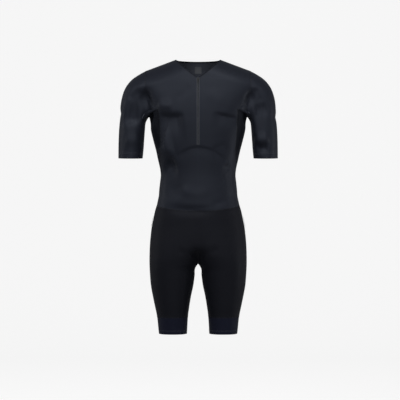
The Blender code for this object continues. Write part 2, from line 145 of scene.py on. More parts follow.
TORSO = SizeTable(
    "z half front back",
    [
        (-541, 154.5, 104.5, 101),
        (-523, 149, 104, 97),
        (-505, 145, 102.5, 93),
        (-487, 141.5, 101, 89),
        (-469, 140.3, 100, 86),
        (-433, 136.5, 98.3, 83),
        (-415, 134.7, 98, 82),
        (-397, 136, 99, 84),
        (-361, 143.5, 103, 88),
        (-325, 151.5, 108, 94),
        (-289, 161, 112, 101),
        (-253, 169.5, 115.5, 108),
        (-217, 174, 117, 113),
        (-206, 177, 116.5, 114),
        (-198, 180, 116.3, 114.5),
        (-180, 188, 115, 115),
        (-160, 199, 112, 114),
        (-140, 211, 108, 112),
        (-120, 226, 103, 108.5),
        (-100, 243, 97, 104),
        (-80, 262, 91, 98),
        (-60, 282, 84, 92),
        (-30, 306, 74, 80),
        (0, 330, 66, 70),
    ],
)

SIDE_SEAMS = SizeTable(
    "z front back",
    [
        (-527, 84, 102),
        (-450, 82, 106),
        (-410, 79, 109),
        (-376, 74, 112),
        (-350, 66, 117),
        (-322, 58.5, 120),
        (-286, 55, 123),
        (-250, 52, 126),
        (-215, 50.5, 129),
        (-180, 46, 134),
    ],
)

LEGS = SizeTable(
    "z outer inner front back",
    [
        (-983, 141, 40, 64, 67),
        (-955, 144, 38.5, 66, 69),
        (-937, 145.7, 37.5, 68, 71),
        (-919, 148, 36.3, 70, 73),
        (-883, 155.5, 31.5, 76, 79),
        (-847, 163, 25.5, 81, 86),
        (-811, 169.5, 17.7, 86, 93),
        (-775, 172.7, 12.7, 91, 101),
        (-745, 174.3, 9.3, 95, 108),
        (-733, 174.7, 0.8, 97, 112),
        (-717, 174.8, -12, 99.5, 117),
        (-697, 174.5, -40, 102, 122),
        (-665, 173.3, -88, 104.5, 126),
        (-630, 170.3, -136, 105.5, 124),
        (-595, 166, -166, 105.5, 116),
        (-560, 158.8, -158.8, 105, 106),
        (-541, 154.5, -154.5, 104.5, 101),
        (-523, 149, -149, 104, 97),
    ],
)

SLEEVE = SizeTable(
    "outer_x outer_z inner_x inner_z front back armhole_share",
    [
        (188, -39, 180, -198, 62, 66, 1.0),
        (212, -52, 184, -206, 62, 66, 0.8),
        (238, -70, 187, -217, 62, 65, 0.5),
        (258, -94, 189.3, -229, 61.5, 64, 0.25),
        (270, -120, 190.6, -243, 61, 63, 0.1),
        (278, -155, 192, -258, 60, 62, 0),
        (280, -200, 193.2, -276, 59, 61, 0),
        (284.5, -250, 194.6, -296, 58, 60, 0),
        (286.5, -300, 196, -318, 57, 59, 0),
        (287, -353, 199.5, -353, 56, 57, 0),
    ],
)

ARMHOLE = SizeTable(
    "arm_x arm_z front_x front_z back_x back_z",
    [
        (159, -165.5, 5, -153, 0, -138),
        (175, -149, 5, -126, 0, -98),
        (185.5, -130, 5, -99, 0, -54),
        (188, -109, 5, -69, 0, -4.5),
        (188, -87.4, 34, -48, 32, -4.2),
        (188, -67.9, 56, -29, 58, -3.4),
        (188, -52.4, 72, -14, 74, -2.2),
        (188, -42.4, 81, -4, 82.5, -0.6),
        (188, -39, 84, 0, 84, 0),
    ],
)


# ---------------------------------------------------------------- the form and its cut


@dataclass(frozen=True)
class Form:
    """The smooth hollow shape that every piece of cloth lies on."""

    roundness: float = 2.3
    sleeve_roundness: float = 2.1
    neck_half: float = 84.0
    shoulder_slope: float = 39.0 / 104.0
    shoulder_round: float = 70.0
    crotch_z: float = -733.0
    crotch_softening: float = 22.0
    crotch_softening_rise: float = 45.0

    def bulge(self, share: Array) -> Array:
        """Depth of a section at a share of its half width, 1 in the middle."""
        inside = 1 - np.minimum(1.0, np.abs(share)) ** self.roundness
        return np.maximum(0.0, inside) ** (1 / self.roundness)

    def reach(self, degrees: Array) -> Array:
        """Share of the half width that a section reaches at an angle from its middle."""
        return np.abs(np.sin(np.radians(degrees))) ** (2 / self.roundness)

    def angle(self, share: Array) -> Array:
        """Angle in degrees at which a section reaches a share of its half width."""
        return np.degrees(np.arcsin(np.clip(share, 0, 1) ** (self.roundness / 2)))

    def torso(self, x: Array, z: Array, side: Side) -> Array:
        """Points of the body above the waist.

        Args:
            x: Distance across from the middle.
            z: Height.
            side: Front or back.

        Returns:
            Points, with their coordinates along a new last axis.
        """
        half = TORSO.at_height("half", z)
        below = (self.shoulder_slope * (self.neck_half - np.abs(x)) - z) / self.shoulder_round
        cap = np.sqrt(1 - (1 - np.clip(below, 0, 1)) ** 2)
        depth = TORSO.at_height(side.value, z) * self.bulge(x / half) * cap
        return np.stack(np.broadcast_arrays(x, side.sign * depth, z), axis=-1)

    def torso_ring(self, degrees: Array, z: Array) -> Array:
        """Points of the body at angles from centre front, round the wearer's left side.

        Args:
            degrees: Angles from centre front.
            z: Heights.

        Returns:
            Points, with their coordinates along a new last axis.
        """
        x = TORSO.at_height("half", z) * self.reach(degrees)
        front = self.torso(x, z, Side.FRONT)
        back = self.torso(x, z, Side.BACK)
        return np.where((degrees < 90)[..., None], front, back)

    def leg(self, share: Array, z: Array, side: Side) -> Array:
        """Points of the shorts.

        Args:
            share: Share of the way from the middle or the inseam to the side seam.
            z: Height.
            side: Front or back.

        Returns:
            Points, with their coordinates along a new last axis.
        """
        outer = LEGS.at_height("outer", z)
        inner = np.where(z == self.crotch_z, 0.0, np.maximum(-outer, LEGS.at_height("inner", z)))
        inner = np.where(z > self.crotch_z, np.minimum(inner, 0.0), inner)
        middle = (outer + inner) / 2
        half = (outer - inner) / 2
        start = -self.angle(np.minimum(1.0, middle / half))
        degrees = start + (90 - start) * share
        x = middle + half * np.sign(degrees) * self.reach(degrees)
        rise = np.clip((z - self.crotch_z) / self.crotch_softening_rise, 0, 1)
        softening = self.crotch_softening * rise
        widened = x + softening * np.exp(-x / np.maximum(softening, 0.1))
        depth = LEGS.at_height(side.value, z) * self.bulge((widened - middle) / half)
        return np.stack(np.broadcast_arrays(x, side.sign * depth, z), axis=-1)


@dataclass(frozen=True)
class Fineness:
    """How many fine cells stand in each coarse cell of the cut."""

    rows: int = 9
    half_columns: int = 9
    side_columns: int = 6
    leg_rows: int = 8
    sleeve_rows: int = 7
    gripper_rows: int = 8
    zip_columns: int = 4


@dataclass
class Cut:
    """Grids of points for each piece, worked out on the form from its seams."""

    form: Form = field(default_factory=Form)
    fine: Fineness = field(default_factory=Fineness)
    zip_half: float = 5.0
    zip_bottom_row: int = 7
    side_top_row: int = 11
    neck_row: int = 15
    half_cells: int = 8
    side_cells: int = 6
    front_waist_cells: int = 2
    waist_z: float = -527.0
    side_top_z: float = -180.0
    underarm_drop: float = 18.0
    waist_dip: dict = field(default_factory=lambda: {Side.FRONT: 15.0, Side.BACK: 6.0})
    torso_levels: tuple = (-527, -500, -467, -433, -397, -361, -332, -308, -280, -250, -216, -180)
    leg_levels: tuple = (
        *(-562, -597, -632, -665, -695, -717, -733),
        *(-744, -766, -796, -828, -860, -892, -922),
    )
    gripper_levels: tuple = (-922, -952, -983)

    @property
    def first_neck(self) -> int:
        """Row of the armhole's table where the neck starts."""
        return self.neck_row - self.side_top_row - 1

    def rows(self) -> Array:
        """Fractional row numbers from the waist to the shoulder line."""
        last = self.side_top_row + len(ARMHOLE["arm_x"])
        return np.arange(last * self.fine.rows + 1) / self.fine.rows

    def row_ends(self, side: Side) -> tuple[Array, Array]:
        """Inner and outer end of every row of the front or back.

        Args:
            side: Front or back.

        Returns:
            Two arrays of (x, z), one for the middle and one for the side seam or armhole.
        """
        rows = self.rows()
        levels = np.array(self.torso_levels, float)
        numbers = np.arange(len(levels) + len(ARMHOLE["arm_z"]), dtype=float)
        outer_z = np.concatenate([levels, ARMHOLE["arm_z"]])
        arm_z = smooth_curve(numbers, outer_z, rows, flat_end=True)
        inner_z = np.concatenate([levels, ARMHOLE[side.value + "_z"]])
        inner_x = ARMHOLE[side.value + "_x"]
        low = rows <= self.neck_row
        body = numbers <= self.neck_row
        middle_z = smooth_curve(numbers[body], inner_z[body], np.minimum(rows, self.neck_row))
        neck_at = np.maximum(rows - self.neck_row, 0)
        neck_numbers = np.arange(len(inner_x) - self.first_neck, dtype=float)
        neck_x = smooth_curve(neck_numbers, inner_x[self.first_neck :], neck_at, flat_end=True)
        neck_z = smooth_curve(neck_numbers, inner_z[self.neck_row :], neck_at, flat_end=True)
        middle_x = self.zip_half if side is Side.FRONT else 0.0
        pairs = (middle_x, neck_x), (middle_z, neck_z)
        inner = np.stack([np.where(low, *pair) for pair in pairs], axis=-1)

        seam_z = np.minimum(arm_z, self.side_top_z)
        seam_x = self.form.torso_ring(SIDE_SEAMS.at_height(side.value, seam_z), seam_z)[..., 0]
        corner_x = seam_x[rows == self.side_top_row]
        arm_columns = np.concatenate([corner_x, ARMHOLE["arm_x"]])
        arm_at = np.maximum(rows - self.side_top_row, 0)
        arm_x = smooth_curve(np.arange(len(arm_columns), dtype=float), arm_columns, arm_at)
        outer_x = np.where(rows <= self.side_top_row, seam_x, arm_x)
        return inner, np.stack([outer_x, arm_z], axis=-1)

    def torso_half(self, side: Side) -> Array:
        """Fine grid of half the front or back.

        Args:
            side: Front or back.

        Returns:
            Points by row from the waist up and by column from the middle out.
        """
        inner, outer = self.row_ends(side)
        half = TORSO.at_height("half", outer[:, 1])
        end = self.form.angle(outer[:, 0] / half)[:, None]
        steps = np.linspace(0, 1, self.half_cells * self.fine.half_columns + 1)[None, :]
        across = self.form.reach(end * steps) / self.form.reach(end)
        dip = self.waist_dip[side] * np.clip(1 - self.rows(), 0, 1)[:, None]
        x = inner[:, :1] + (outer[:, :1] - inner[:, :1]) * across
        z = inner[:, 1:] + (outer[:, 1:] - inner[:, 1:]) * across - dip * (1 - across**2)
        return self.form.torso(x, z, side)

    def zip_strip(self, front: Array) -> Array:
        """Grid across the zip, from the waist to the neck, in line with the front's rows.

        Args:
            front: Points of the front.

        Returns:
            Points by row from the waist up and by column from the wearer's right.
        """
        count = self.neck_row * self.fine.rows + 1
        edge = front[:count, 0]
        shares = np.linspace(-1, 1, self.fine.zip_columns + 1)[None, :]
        x = edge[:, :1] * shares
        return self.form.torso(x, np.broadcast_to(edge[:, 2:], x.shape), Side.FRONT)

    def side_panel(self) -> Array:
        """Fine grid of the side panel, from its front seam to its back seam.

        Returns:
            Points by row from the waist up and by column from the front seam.
        """
        count = self.side_top_row * self.fine.rows + 1
        rows = self.rows()[:count]
        levels = np.concatenate([np.array(self.torso_levels, float), ARMHOLE["arm_z"]])
        z = smooth_curve(np.arange(len(levels), dtype=float), levels, rows, flat_end=True)[:, None]
        first = SIDE_SEAMS.at_height("front", z)
        last = SIDE_SEAMS.at_height("back", z)
        steps = np.linspace(0, 1, self.side_cells * self.fine.side_columns + 1)[None, :]
        near_top = np.clip(rows - (self.side_top_row - 1), 0, 1)[:, None]
        drop = self.underarm_drop * (1 - (2 * steps - 1) ** 2) * near_top
        degrees = first + (last - first) * steps
        return self.form.torso_ring(degrees, z - drop)

    def armhole(self, front: Array, back: Array, side: Array) -> Array:
        """Loop round the armhole from the underarm, up the front and down the back.

        Args:
            front: Points of the front.
            back: Points of the back.
            side: Points of the side panel.

        Returns:
            Points of the loop, each once.
        """
        top = side[-1]
        middle = (len(top) - 1) // 2
        rise = self.side_top_row * self.fine.rows
        up = front[rise:, -1]
        down = back[rise:-1, -1][::-1]
        return np.concatenate([top[middle:0:-1], up, down, top[-2:middle:-1]])

    def armhole_turn(self) -> Array:
        """Angle round the arm of every point of the armhole loop, from the underarm.

        Returns:
            Angles in radians.
        """
        under = np.arange(self.side_cells // 2 * self.fine.side_columns) / self.fine.side_columns
        arm = np.arange(2 * len(ARMHOLE["arm_x"]) * self.fine.rows) / self.fine.rows
        half_panel = self.side_cells / 2
        cells = 2 * len(ARMHOLE["arm_x"]) + self.side_cells
        steps = np.concatenate([under, half_panel + arm, cells - half_panel + under])
        return 2 * np.pi * steps / cells

    def sleeve(self, loop: Array) -> Array:
        """Fine grid of the sleeve.

        Args:
            loop: Points round the armhole.

        Returns:
            Rings from the hem up to the armhole, each starting at the inner arm.
        """
        count = (len(SLEEVE["front"]) - 1) * self.fine.sleeve_rows + 1
        at = np.linspace(0, len(SLEEVE["front"]) - 1, count)
        size = {name: SLEEVE.at_row(name, at) for name in SLEEVE.columns}
        size["armhole_share"] = np.clip(size["armhole_share"], 0, 1)
        zero = np.zeros(count)
        upper = np.stack([size["outer_x"], zero, size["outer_z"]], axis=-1)
        under = np.stack([size["inner_x"], zero, size["inner_z"]], axis=-1)
        middle = (upper + under) / 2
        half = (upper - under) / 2
        along = np.cross(half, [0.0, 1.0, 0.0])
        along /= np.linalg.norm(along, axis=1, keepdims=True)

        off = loop - middle[0]
        forward = loop[:, 1] < 0
        across = off @ half[0] / (half[0] @ half[0])
        out = loop[:, 1] / np.where(forward, SLEEVE["front"][0], SLEEVE["back"][0])
        offset = off @ along[0]
        turn = self.armhole_turn()
        power = 2 / self.form.sleeve_roundness
        round_across = -np.sign(np.cos(turn)) * np.abs(np.cos(turn)) ** power
        round_out = -np.sign(np.sin(turn)) * np.abs(np.sin(turn)) ** power

        share = size["armhole_share"][:, None]
        blend_across = share * across + (1 - share) * round_across
        blend_out = share * out + (1 - share) * round_out
        depth = np.where(blend_out < 0, size["front"][:, None], size["back"][:, None])
        points = middle[:, None] + half[:, None] * blend_across[..., None]
        points = points + along[:, None] * (offset * share)[..., None]
        points[..., 1] = depth * blend_out
        points[0] = loop
        return points[::-1]

    def leg_rows(self, side: Side, waist: Array) -> Array:
        """Fine grid of half the shorts, from the gripper seam up to the waist.

        Args:
            side: Front or back.
            waist: Points along the waist seam, from the middle out.

        Returns:
            Points by row and by column from the middle out.
        """
        levels = np.array((self.waist_z, *self.leg_levels))
        at = np.arange(len(self.leg_levels) * self.fine.leg_rows + 1) / self.fine.leg_rows
        z = smooth_curve(np.arange(len(levels), dtype=float), levels, at)
        return self.leg_grid(side, waist, z, at)[::-1]

    def gripper_half(self, side: Side, waist: Array) -> Array:
        """Fine grid of half a gripper band, from its hem up to its seam.

        Args:
            side: Front or back.
            waist: Points along the waist seam, from the middle out.

        Returns:
            Points by row and by column from the middle out.
        """
        cells = (len(self.gripper_levels) - 1) * self.fine.gripper_rows
        z = np.linspace(self.gripper_levels[0], self.gripper_levels[-1], cells + 1)
        return self.leg_grid(side, waist, z, np.full(len(z), float(len(self.leg_levels))))[::-1]

    def leg_grid(self, side: Side, waist: Array, z: Array, at: Array) -> Array:
        """Rows of the shorts or gripper at heights z.

        Args:
            side: Front or back.
            waist: Points along the waist seam, from the middle out.
            z: Height of each row.
            at: Row number of each row, counted from the waist.

        Returns:
            Points by row, highest first, and by column from the middle out.
        """
        cells = len(waist) - 1
        waist_shares = self.form.angle(waist[:, 0] / waist[-1, 0]) / 90
        even = np.clip((self.waist_z - z) / (self.waist_z - self.form.crotch_z), 0, 1)[:, None]
        shares = (1 - even) * waist_shares[None] + even * np.arange(cells + 1)[None] / cells
        hang = np.clip(1 - at, 0, 1)[:, None]
        heights = z[:, None] + (waist[None, :, 2] - self.waist_z) * hang
        points = self.form.leg(shares, np.where(hang > 0, heights, z[:, None]), side)
        seam = self.form.leg(waist_shares, waist[:, 2], side)
        return points + (waist - seam)[None] * hang[..., None]


def mirrored(grid: Array) -> Array:
    """The same grid on the wearer's other side, still running the same way round."""
    return grid[:, ::-1] * OTHER_SIDE


# ---------------------------------------------------------------- creases


class Facing(Enum):
    """Way that a crease faces, as the two axes it is drawn on and the one it faces along."""

    FRONT = (0, 2, 1, -1)
    BACK = (0, 2, 1, 1)
    LEFT = (1, 2, 0, 1)
    RIGHT = (1, 2, 0, -1)


class Zone(Enum):
    """Part of the suit that a crease keeps to."""

    BODY = "body"
    SLEEVE = "sleeve"


@dataclass(frozen=True)
class Fold:
    """One crease or swell, drawn on the cloth along a few points.

    A negative height sinks in and a positive one stands out. Sharpness runs from 0, round,
    to 1, pinched to a line. Shoulder is the height of the swell that rides along one
    side of the line, on its left as it is drawn, or on its right where it is negative.
    Lean makes the left side of the line steep and the right side long, up to 1, or the
    other way round down to -1.
    """

    facing: Facing
    path: tuple
    height: float
    width: float
    sharpness: float = 0.0
    shoulder: float = 0.0
    zone: Zone = Zone.BODY
    taper: float = 0.3
    lean: float = 0.0

    armhole_x: ClassVar[float] = 184.0
    armhole_blend: ClassVar[float] = 14.0
    sleeve_end_z: ClassVar[float] = -420.0
    facing_gain: ClassVar[float] = 2.2
    facing_start: ClassVar[float] = 0.25
    reach: ClassVar[float] = 4.0
    lean_reach: ClassVar[float] = 8.0
    steepening: ClassVar[float] = 0.6
    lengthening: ClassVar[float] = 4.0
    pinch: ClassVar[float] = 1.8
    shoulder_at: ClassVar[float] = 1.7
    points_per_key: ClassVar[int] = 6

    def line(self) -> Array:
        """Close points along the fold, on a smooth curve through those it is drawn by.

        Returns:
            Points on the plane that the fold is drawn on.
        """
        drawn = np.array(self.path, float)
        numbers = np.arange(len(drawn), dtype=float)
        at = np.linspace(0, len(drawn) - 1, self.points_per_key * len(drawn))
        return np.stack([smooth_curve(numbers, drawn[:, axis], at) for axis in (0, 1)], axis=-1)

    def weight(self, points: Array, normals: Array) -> Array:
        """How much of the fold shows at each point: those of its zone that face its way.

        Args:
            points: Points of the cloth.
            normals: Outward normals at the points.

        Returns:
            A weight from 0 to 1 for each point.
        """
        _, _, along, way = self.facing.value
        faces = np.clip(normals[:, along] * way * self.facing_gain + self.facing_start, 0, 1)
        arm = np.clip((np.abs(points[:, 0]) - self.armhole_x) / self.armhole_blend, 0, 1)
        arm = np.where(points[:, 2] < self.sleeve_end_z, 0, arm)
        return faces * (arm if self.zone is Zone.SLEEVE else 1 - arm)

    def lift(self, points: Array, normals: Array) -> Array:
        """How far this fold moves each point of the cloth along its normal.

        Args:
            points: Points of the smooth cloth.
            normals: Outward normals at the points.

        Returns:
            Height of the fold at each point, negative inward.
        """
        flat = points[:, self.facing.value[:2]]
        line = self.line()
        reach = (self.reach + self.lean_reach * abs(self.lean)) * self.width
        low = line.min(axis=0) - reach
        high = line.max(axis=0) + reach
        weight = self.weight(points, normals)
        near = np.all((flat > low) & (flat < high), axis=1) & (weight > 0)
        lifted = np.zeros(len(points))
        if near.any():
            lifted[near] = self.section(flat[near], line) * weight[near]
        return lifted

    def section(self, flat: Array, line: Array) -> Array:
        """Height of the fold at points on the plane that it is drawn on.

        Args:
            flat: Points on that plane.
            line: Close points along the fold.

        Returns:
            Height at each point, tapered to nothing at the fold's ends.
        """
        spot = flat[:, None]
        start = line[:-1][None]
        run = np.diff(line, axis=0)[None]
        lengths = np.maximum((run**2).sum(axis=-1), 1e-9)
        share = np.clip(((spot - start) * run).sum(axis=-1) / lengths, 0, 1)
        off = spot - (start + run * share[..., None])
        gaps = np.hypot(off[..., 0], off[..., 1])
        closest = gaps.argmin(axis=1)
        rows = np.arange(len(closest))
        run_at = run[0, closest]
        turn = run_at[:, 0] * off[rows, closest, 1] - run_at[:, 1] * off[rows, closest, 0]
        steps = np.sqrt(lengths[0])
        passed = np.concatenate([[0], np.cumsum(steps)])
        progress = (passed[closest] + share[rows, closest] * steps[closest]) / passed[-1]

        ends = np.clip(np.minimum(progress, 1 - progress) / self.taper, 0, 1)
        strength = ends * ends * (3 - 2 * ends)
        left = np.where(turn > 0, self.lean, -self.lean)
        slack = np.where(left > 0, 1 - self.steepening * left, 1 - self.lengthening * left)
        across = gaps[rows, closest] / (self.width * slack)
        pinched = np.exp(-self.pinch * across)
        core = (1 - self.sharpness) * np.exp(-(across**2)) + self.sharpness * pinched
        signed = across * np.sign(turn) * np.sign(self.shoulder if self.shoulder else 1)
        swell = abs(self.shoulder) * np.exp(-((signed - self.shoulder_at) ** 2))
        return strength * (self.height * core + swell)


def creases(facing: Facing, rows: Sequence[tuple], zone: Zone = Zone.BODY) -> tuple[Fold, ...]:
    """Draw the folds of one side of the suit.

    Args:
        facing: Way that they face.
        rows: Path, height and width of each fold, and its other sizes by name.
        zone: Part of the suit that they keep to.

    Returns:
        The folds.
    """
    return tuple(
        Fold(facing, path, height, width, zone=zone, **sizes) for path, height, width, sizes in rows
    )


FRONT_FOLDS = creases(
    Facing.FRONT,
    [
        (
            ((-146, -204), (-116, -209), (-84, -210), (-46, -205)),
            -14.0,
            17,
            dict(taper=0.35, lean=0.6),
        ),
        (
            ((48, -195), (84, -202), (114, -208), (150, -217)),
            -8.0,
            9,
            dict(sharpness=0.2, taper=0.4, lean=0.7),
        ),
        (((-150, -166), (-116, -170), (-82, -166)), 6.0, 18, dict()),
        (
            ((-88, -356), (-60, -340), (-30, -325), (0, -320), (40, -327), (72, -343), (100, -372)),
            -3.0,
            9,
            dict(sharpness=0.1, taper=0.2, lean=0.3),
        ),
        (((-102, -352), (-96, -376), (-96, -420), (-90, -462), (-66, -500)), -7.0, 28, dict()),
        (((-124, -374), (-99, -379), (-74, -375)), -14.0, 25, dict(taper=0.4)),
        (((94, -376), (104, -388), (110, -402)), -2.4, 14, dict()),
        (((108, -298), (74, -316), (44, -330)), -2.4, 12, dict(lean=-0.3)),
        (
            ((-132, -527), (-92, -534), (-46, -539), (10, -541), (84, -537)),
            -8.0,
            16,
            dict(taper=0.42),
        ),
        (((-28, -535), (14, -537), (66, -534)), 1.4, 4, dict()),
        (((-66, -452), (-36, -474), (4, -481), (50, -472)), 3.2, 19, dict()),
        (((44, -520), (74, -514), (110, -500)), -2.0, 12, dict()),
        (((-144, -314), (-116, -321), (-82, -314)), 12.0, 33, dict(taper=0.45, lean=-0.25)),
        (((-20, -96), (-56, -130), (-84, -150)), -1.4, 14, dict()),
        (((26, -118), (66, -146), (100, -152)), 1.6, 20, dict()),
    ],
)

UNDERARM_FOLDS = tuple(
    Fold(Facing.FRONT, path, height, width, zone=zone, lean=lean)
    for zone in Zone
    for path, height, width, lean in (
        (((-196, -96), (-190, -130), (-184, -164), (-180, -200), (-178, -252)), -18.0, 18, 0.1),
        (((196, -98), (190, -130), (182, -164), (176, -200), (172, -248)), -12.0, 15, 0.0),
    )
)


BACK_FOLDS = creases(
    Facing.BACK,
    [
        (
            ((-120, -330), (-70, -352), (-10, -358), (46, -350), (96, -332)),
            -3.0,
            11,
            dict(sharpness=0.3, shoulder=1.2),
        ),
        (
            ((-104, -388), (-52, -406), (8, -410), (60, -402)),
            -2.4,
            10,
            dict(sharpness=0.3, shoulder=1.0),
        ),
        (
            ((-60, -440), (-8, -452), (50, -448), (108, -430)),
            -2.6,
            11,
            dict(sharpness=0.2, shoulder=-1.0),
        ),
        (((-128, -470), (-84, -486), (-34, -492)), -2.2, 10, dict(sharpness=0.3)),
        (((-150, -150), (-118, -190), (-98, -236)), -2.4, 12, dict(sharpness=0.2, shoulder=1.0)),
        (((154, -148), (126, -196), (112, -246)), -2.2, 12, dict(sharpness=0.2, shoulder=-1.0)),
        (((-30, -250), (-18, -290), (-22, -324)), -1.4, 14, dict()),
    ],
)


SLEEVE_FOLDS = creases(
    Facing.FRONT,
    [
        (((-196, -212), (-232, -212), (-272, -204)), -15.0, 26, dict(taper=0.4, lean=0.4)),
        (((-204, -284), (-232, -290), (-264, -284)), 5.0, 22, dict()),
        (((-198, -112), (-222, -124), (-250, -148)), -3.0, 14, dict()),
        (((196, -186), (224, -180), (256, -172)), -8.0, 26, dict()),
        (((200, -282), (226, -290), (256, -280)), 9.0, 16, dict(lean=-0.15)),
        (((204, -200), (208, -244), (206, -296)), 7.0, 12, dict(taper=0.4)),
        (((200, -100), (214, -128), (226, -160)), -4.0, 13, dict()),
        (((202, -312), (228, -318), (252, -312)), -8.0, 14, dict()),
    ],
    Zone.SLEEVE,
) + creases(
    Facing.BACK,
    [
        (((-210, -110), (-232, -150), (-242, -196)), -3.0, 15, dict(sharpness=0.1, shoulder=1.0)),
        (((210, -104), (230, -146), (238, -192)), -2.8, 14, dict(sharpness=0.1, shoulder=-1.0)),
        (((206, -230), (240, -262), (274, -270)), -2.4, 11, dict(sharpness=0.2, shoulder=0.9)),
        (((-204, -246), (-242, -268), (-272, -272)), -2.4, 11, dict(sharpness=0.2, shoulder=0.9)),
    ],
    Zone.SLEEVE,
) + creases(
    Facing.LEFT,
    [
        (((-40, -190), (-6, -206), (34, -200)), -2.2, 11, dict(sharpness=0.1, shoulder=0.8)),
    ],
    Zone.SLEEVE,
) + creases(
    Facing.RIGHT,
    [
        (((-38, -176), (0, -194), (38, -192)), -2.0, 11, dict(sharpness=0.1, shoulder=0.8)),
    ],
    Zone.SLEEVE,
)


SHORTS_FOLDS = creases(
    Facing.FRONT,
    [
        (((-26, -718), (0, -704), (26, -718)), -14.0, 24, dict(taper=0.45)),
        (((18, -712), (44, -690), (84, -672)), -1.6, 13, dict(sharpness=0.1, shoulder=0.6)),
        (((-18, -714), (-46, -694), (-80, -680)), -1.4, 13, dict(sharpness=0.1, shoulder=-0.6)),
        (((0, -560), (1, -620), (0, -680)), -1.2, 14, dict(sharpness=0.1)),
    ],
) + creases(
    Facing.BACK,
    [
        (((0, -560), (0, -640), (0, -716)), -5.0, 16, dict(sharpness=0.4)),
        (
            ((8, -738), (48, -756), (96, -752), (136, -736)),
            -3.0,
            10,
            dict(sharpness=0.3, shoulder=1.0),
        ),
        (
            ((-8, -738), (-50, -758), (-98, -756), (-138, -742)),
            -3.0,
            10,
            dict(sharpness=0.3, shoulder=-1.0),
        ),
        (((30, -792), (70, -806), (112, -800)), -1.8, 9, dict(sharpness=0.2)),
        (((-34, -800), (-74, -812), (-114, -804)), -1.8, 9, dict(sharpness=0.2)),
    ],
)


ALL_FOLDS = FRONT_FOLDS + UNDERARM_FOLDS + BACK_FOLDS + SLEEVE_FOLDS + SHORTS_FOLDS


# ---------------------------------------------------------------- sewing the pieces


def point_keys(points: Array) -> Array:
    """Keys that points at the same place share."""
    return np.round(points, 3) + 0.0


def shared_points(points: Array) -> tuple[Array, Array, Array]:
    """Find the points that lie at the same place.

    Args:
        points: Points, some of them more than once.

    Returns:
        The keys of the places, one point at each, and the place of every point.
    """
    keys = point_keys(points)
    places, first, same = np.unique(keys, axis=0, return_index=True, return_inverse=True)
    return places, first, same.reshape(-1)


class Slot(Enum):
    """Material slots of the record."""

    SATIN = "satin_knit"
    SIDE = "side_knit"
    SHORTS = "shorts_knit"
    GRIPPER = "gripper_knit"
    BINDING = "binding_knit"
    TAPE = "zip_tape_weave"
    COIL = "zip_coil_nylon"
    METAL = "slider_metal"


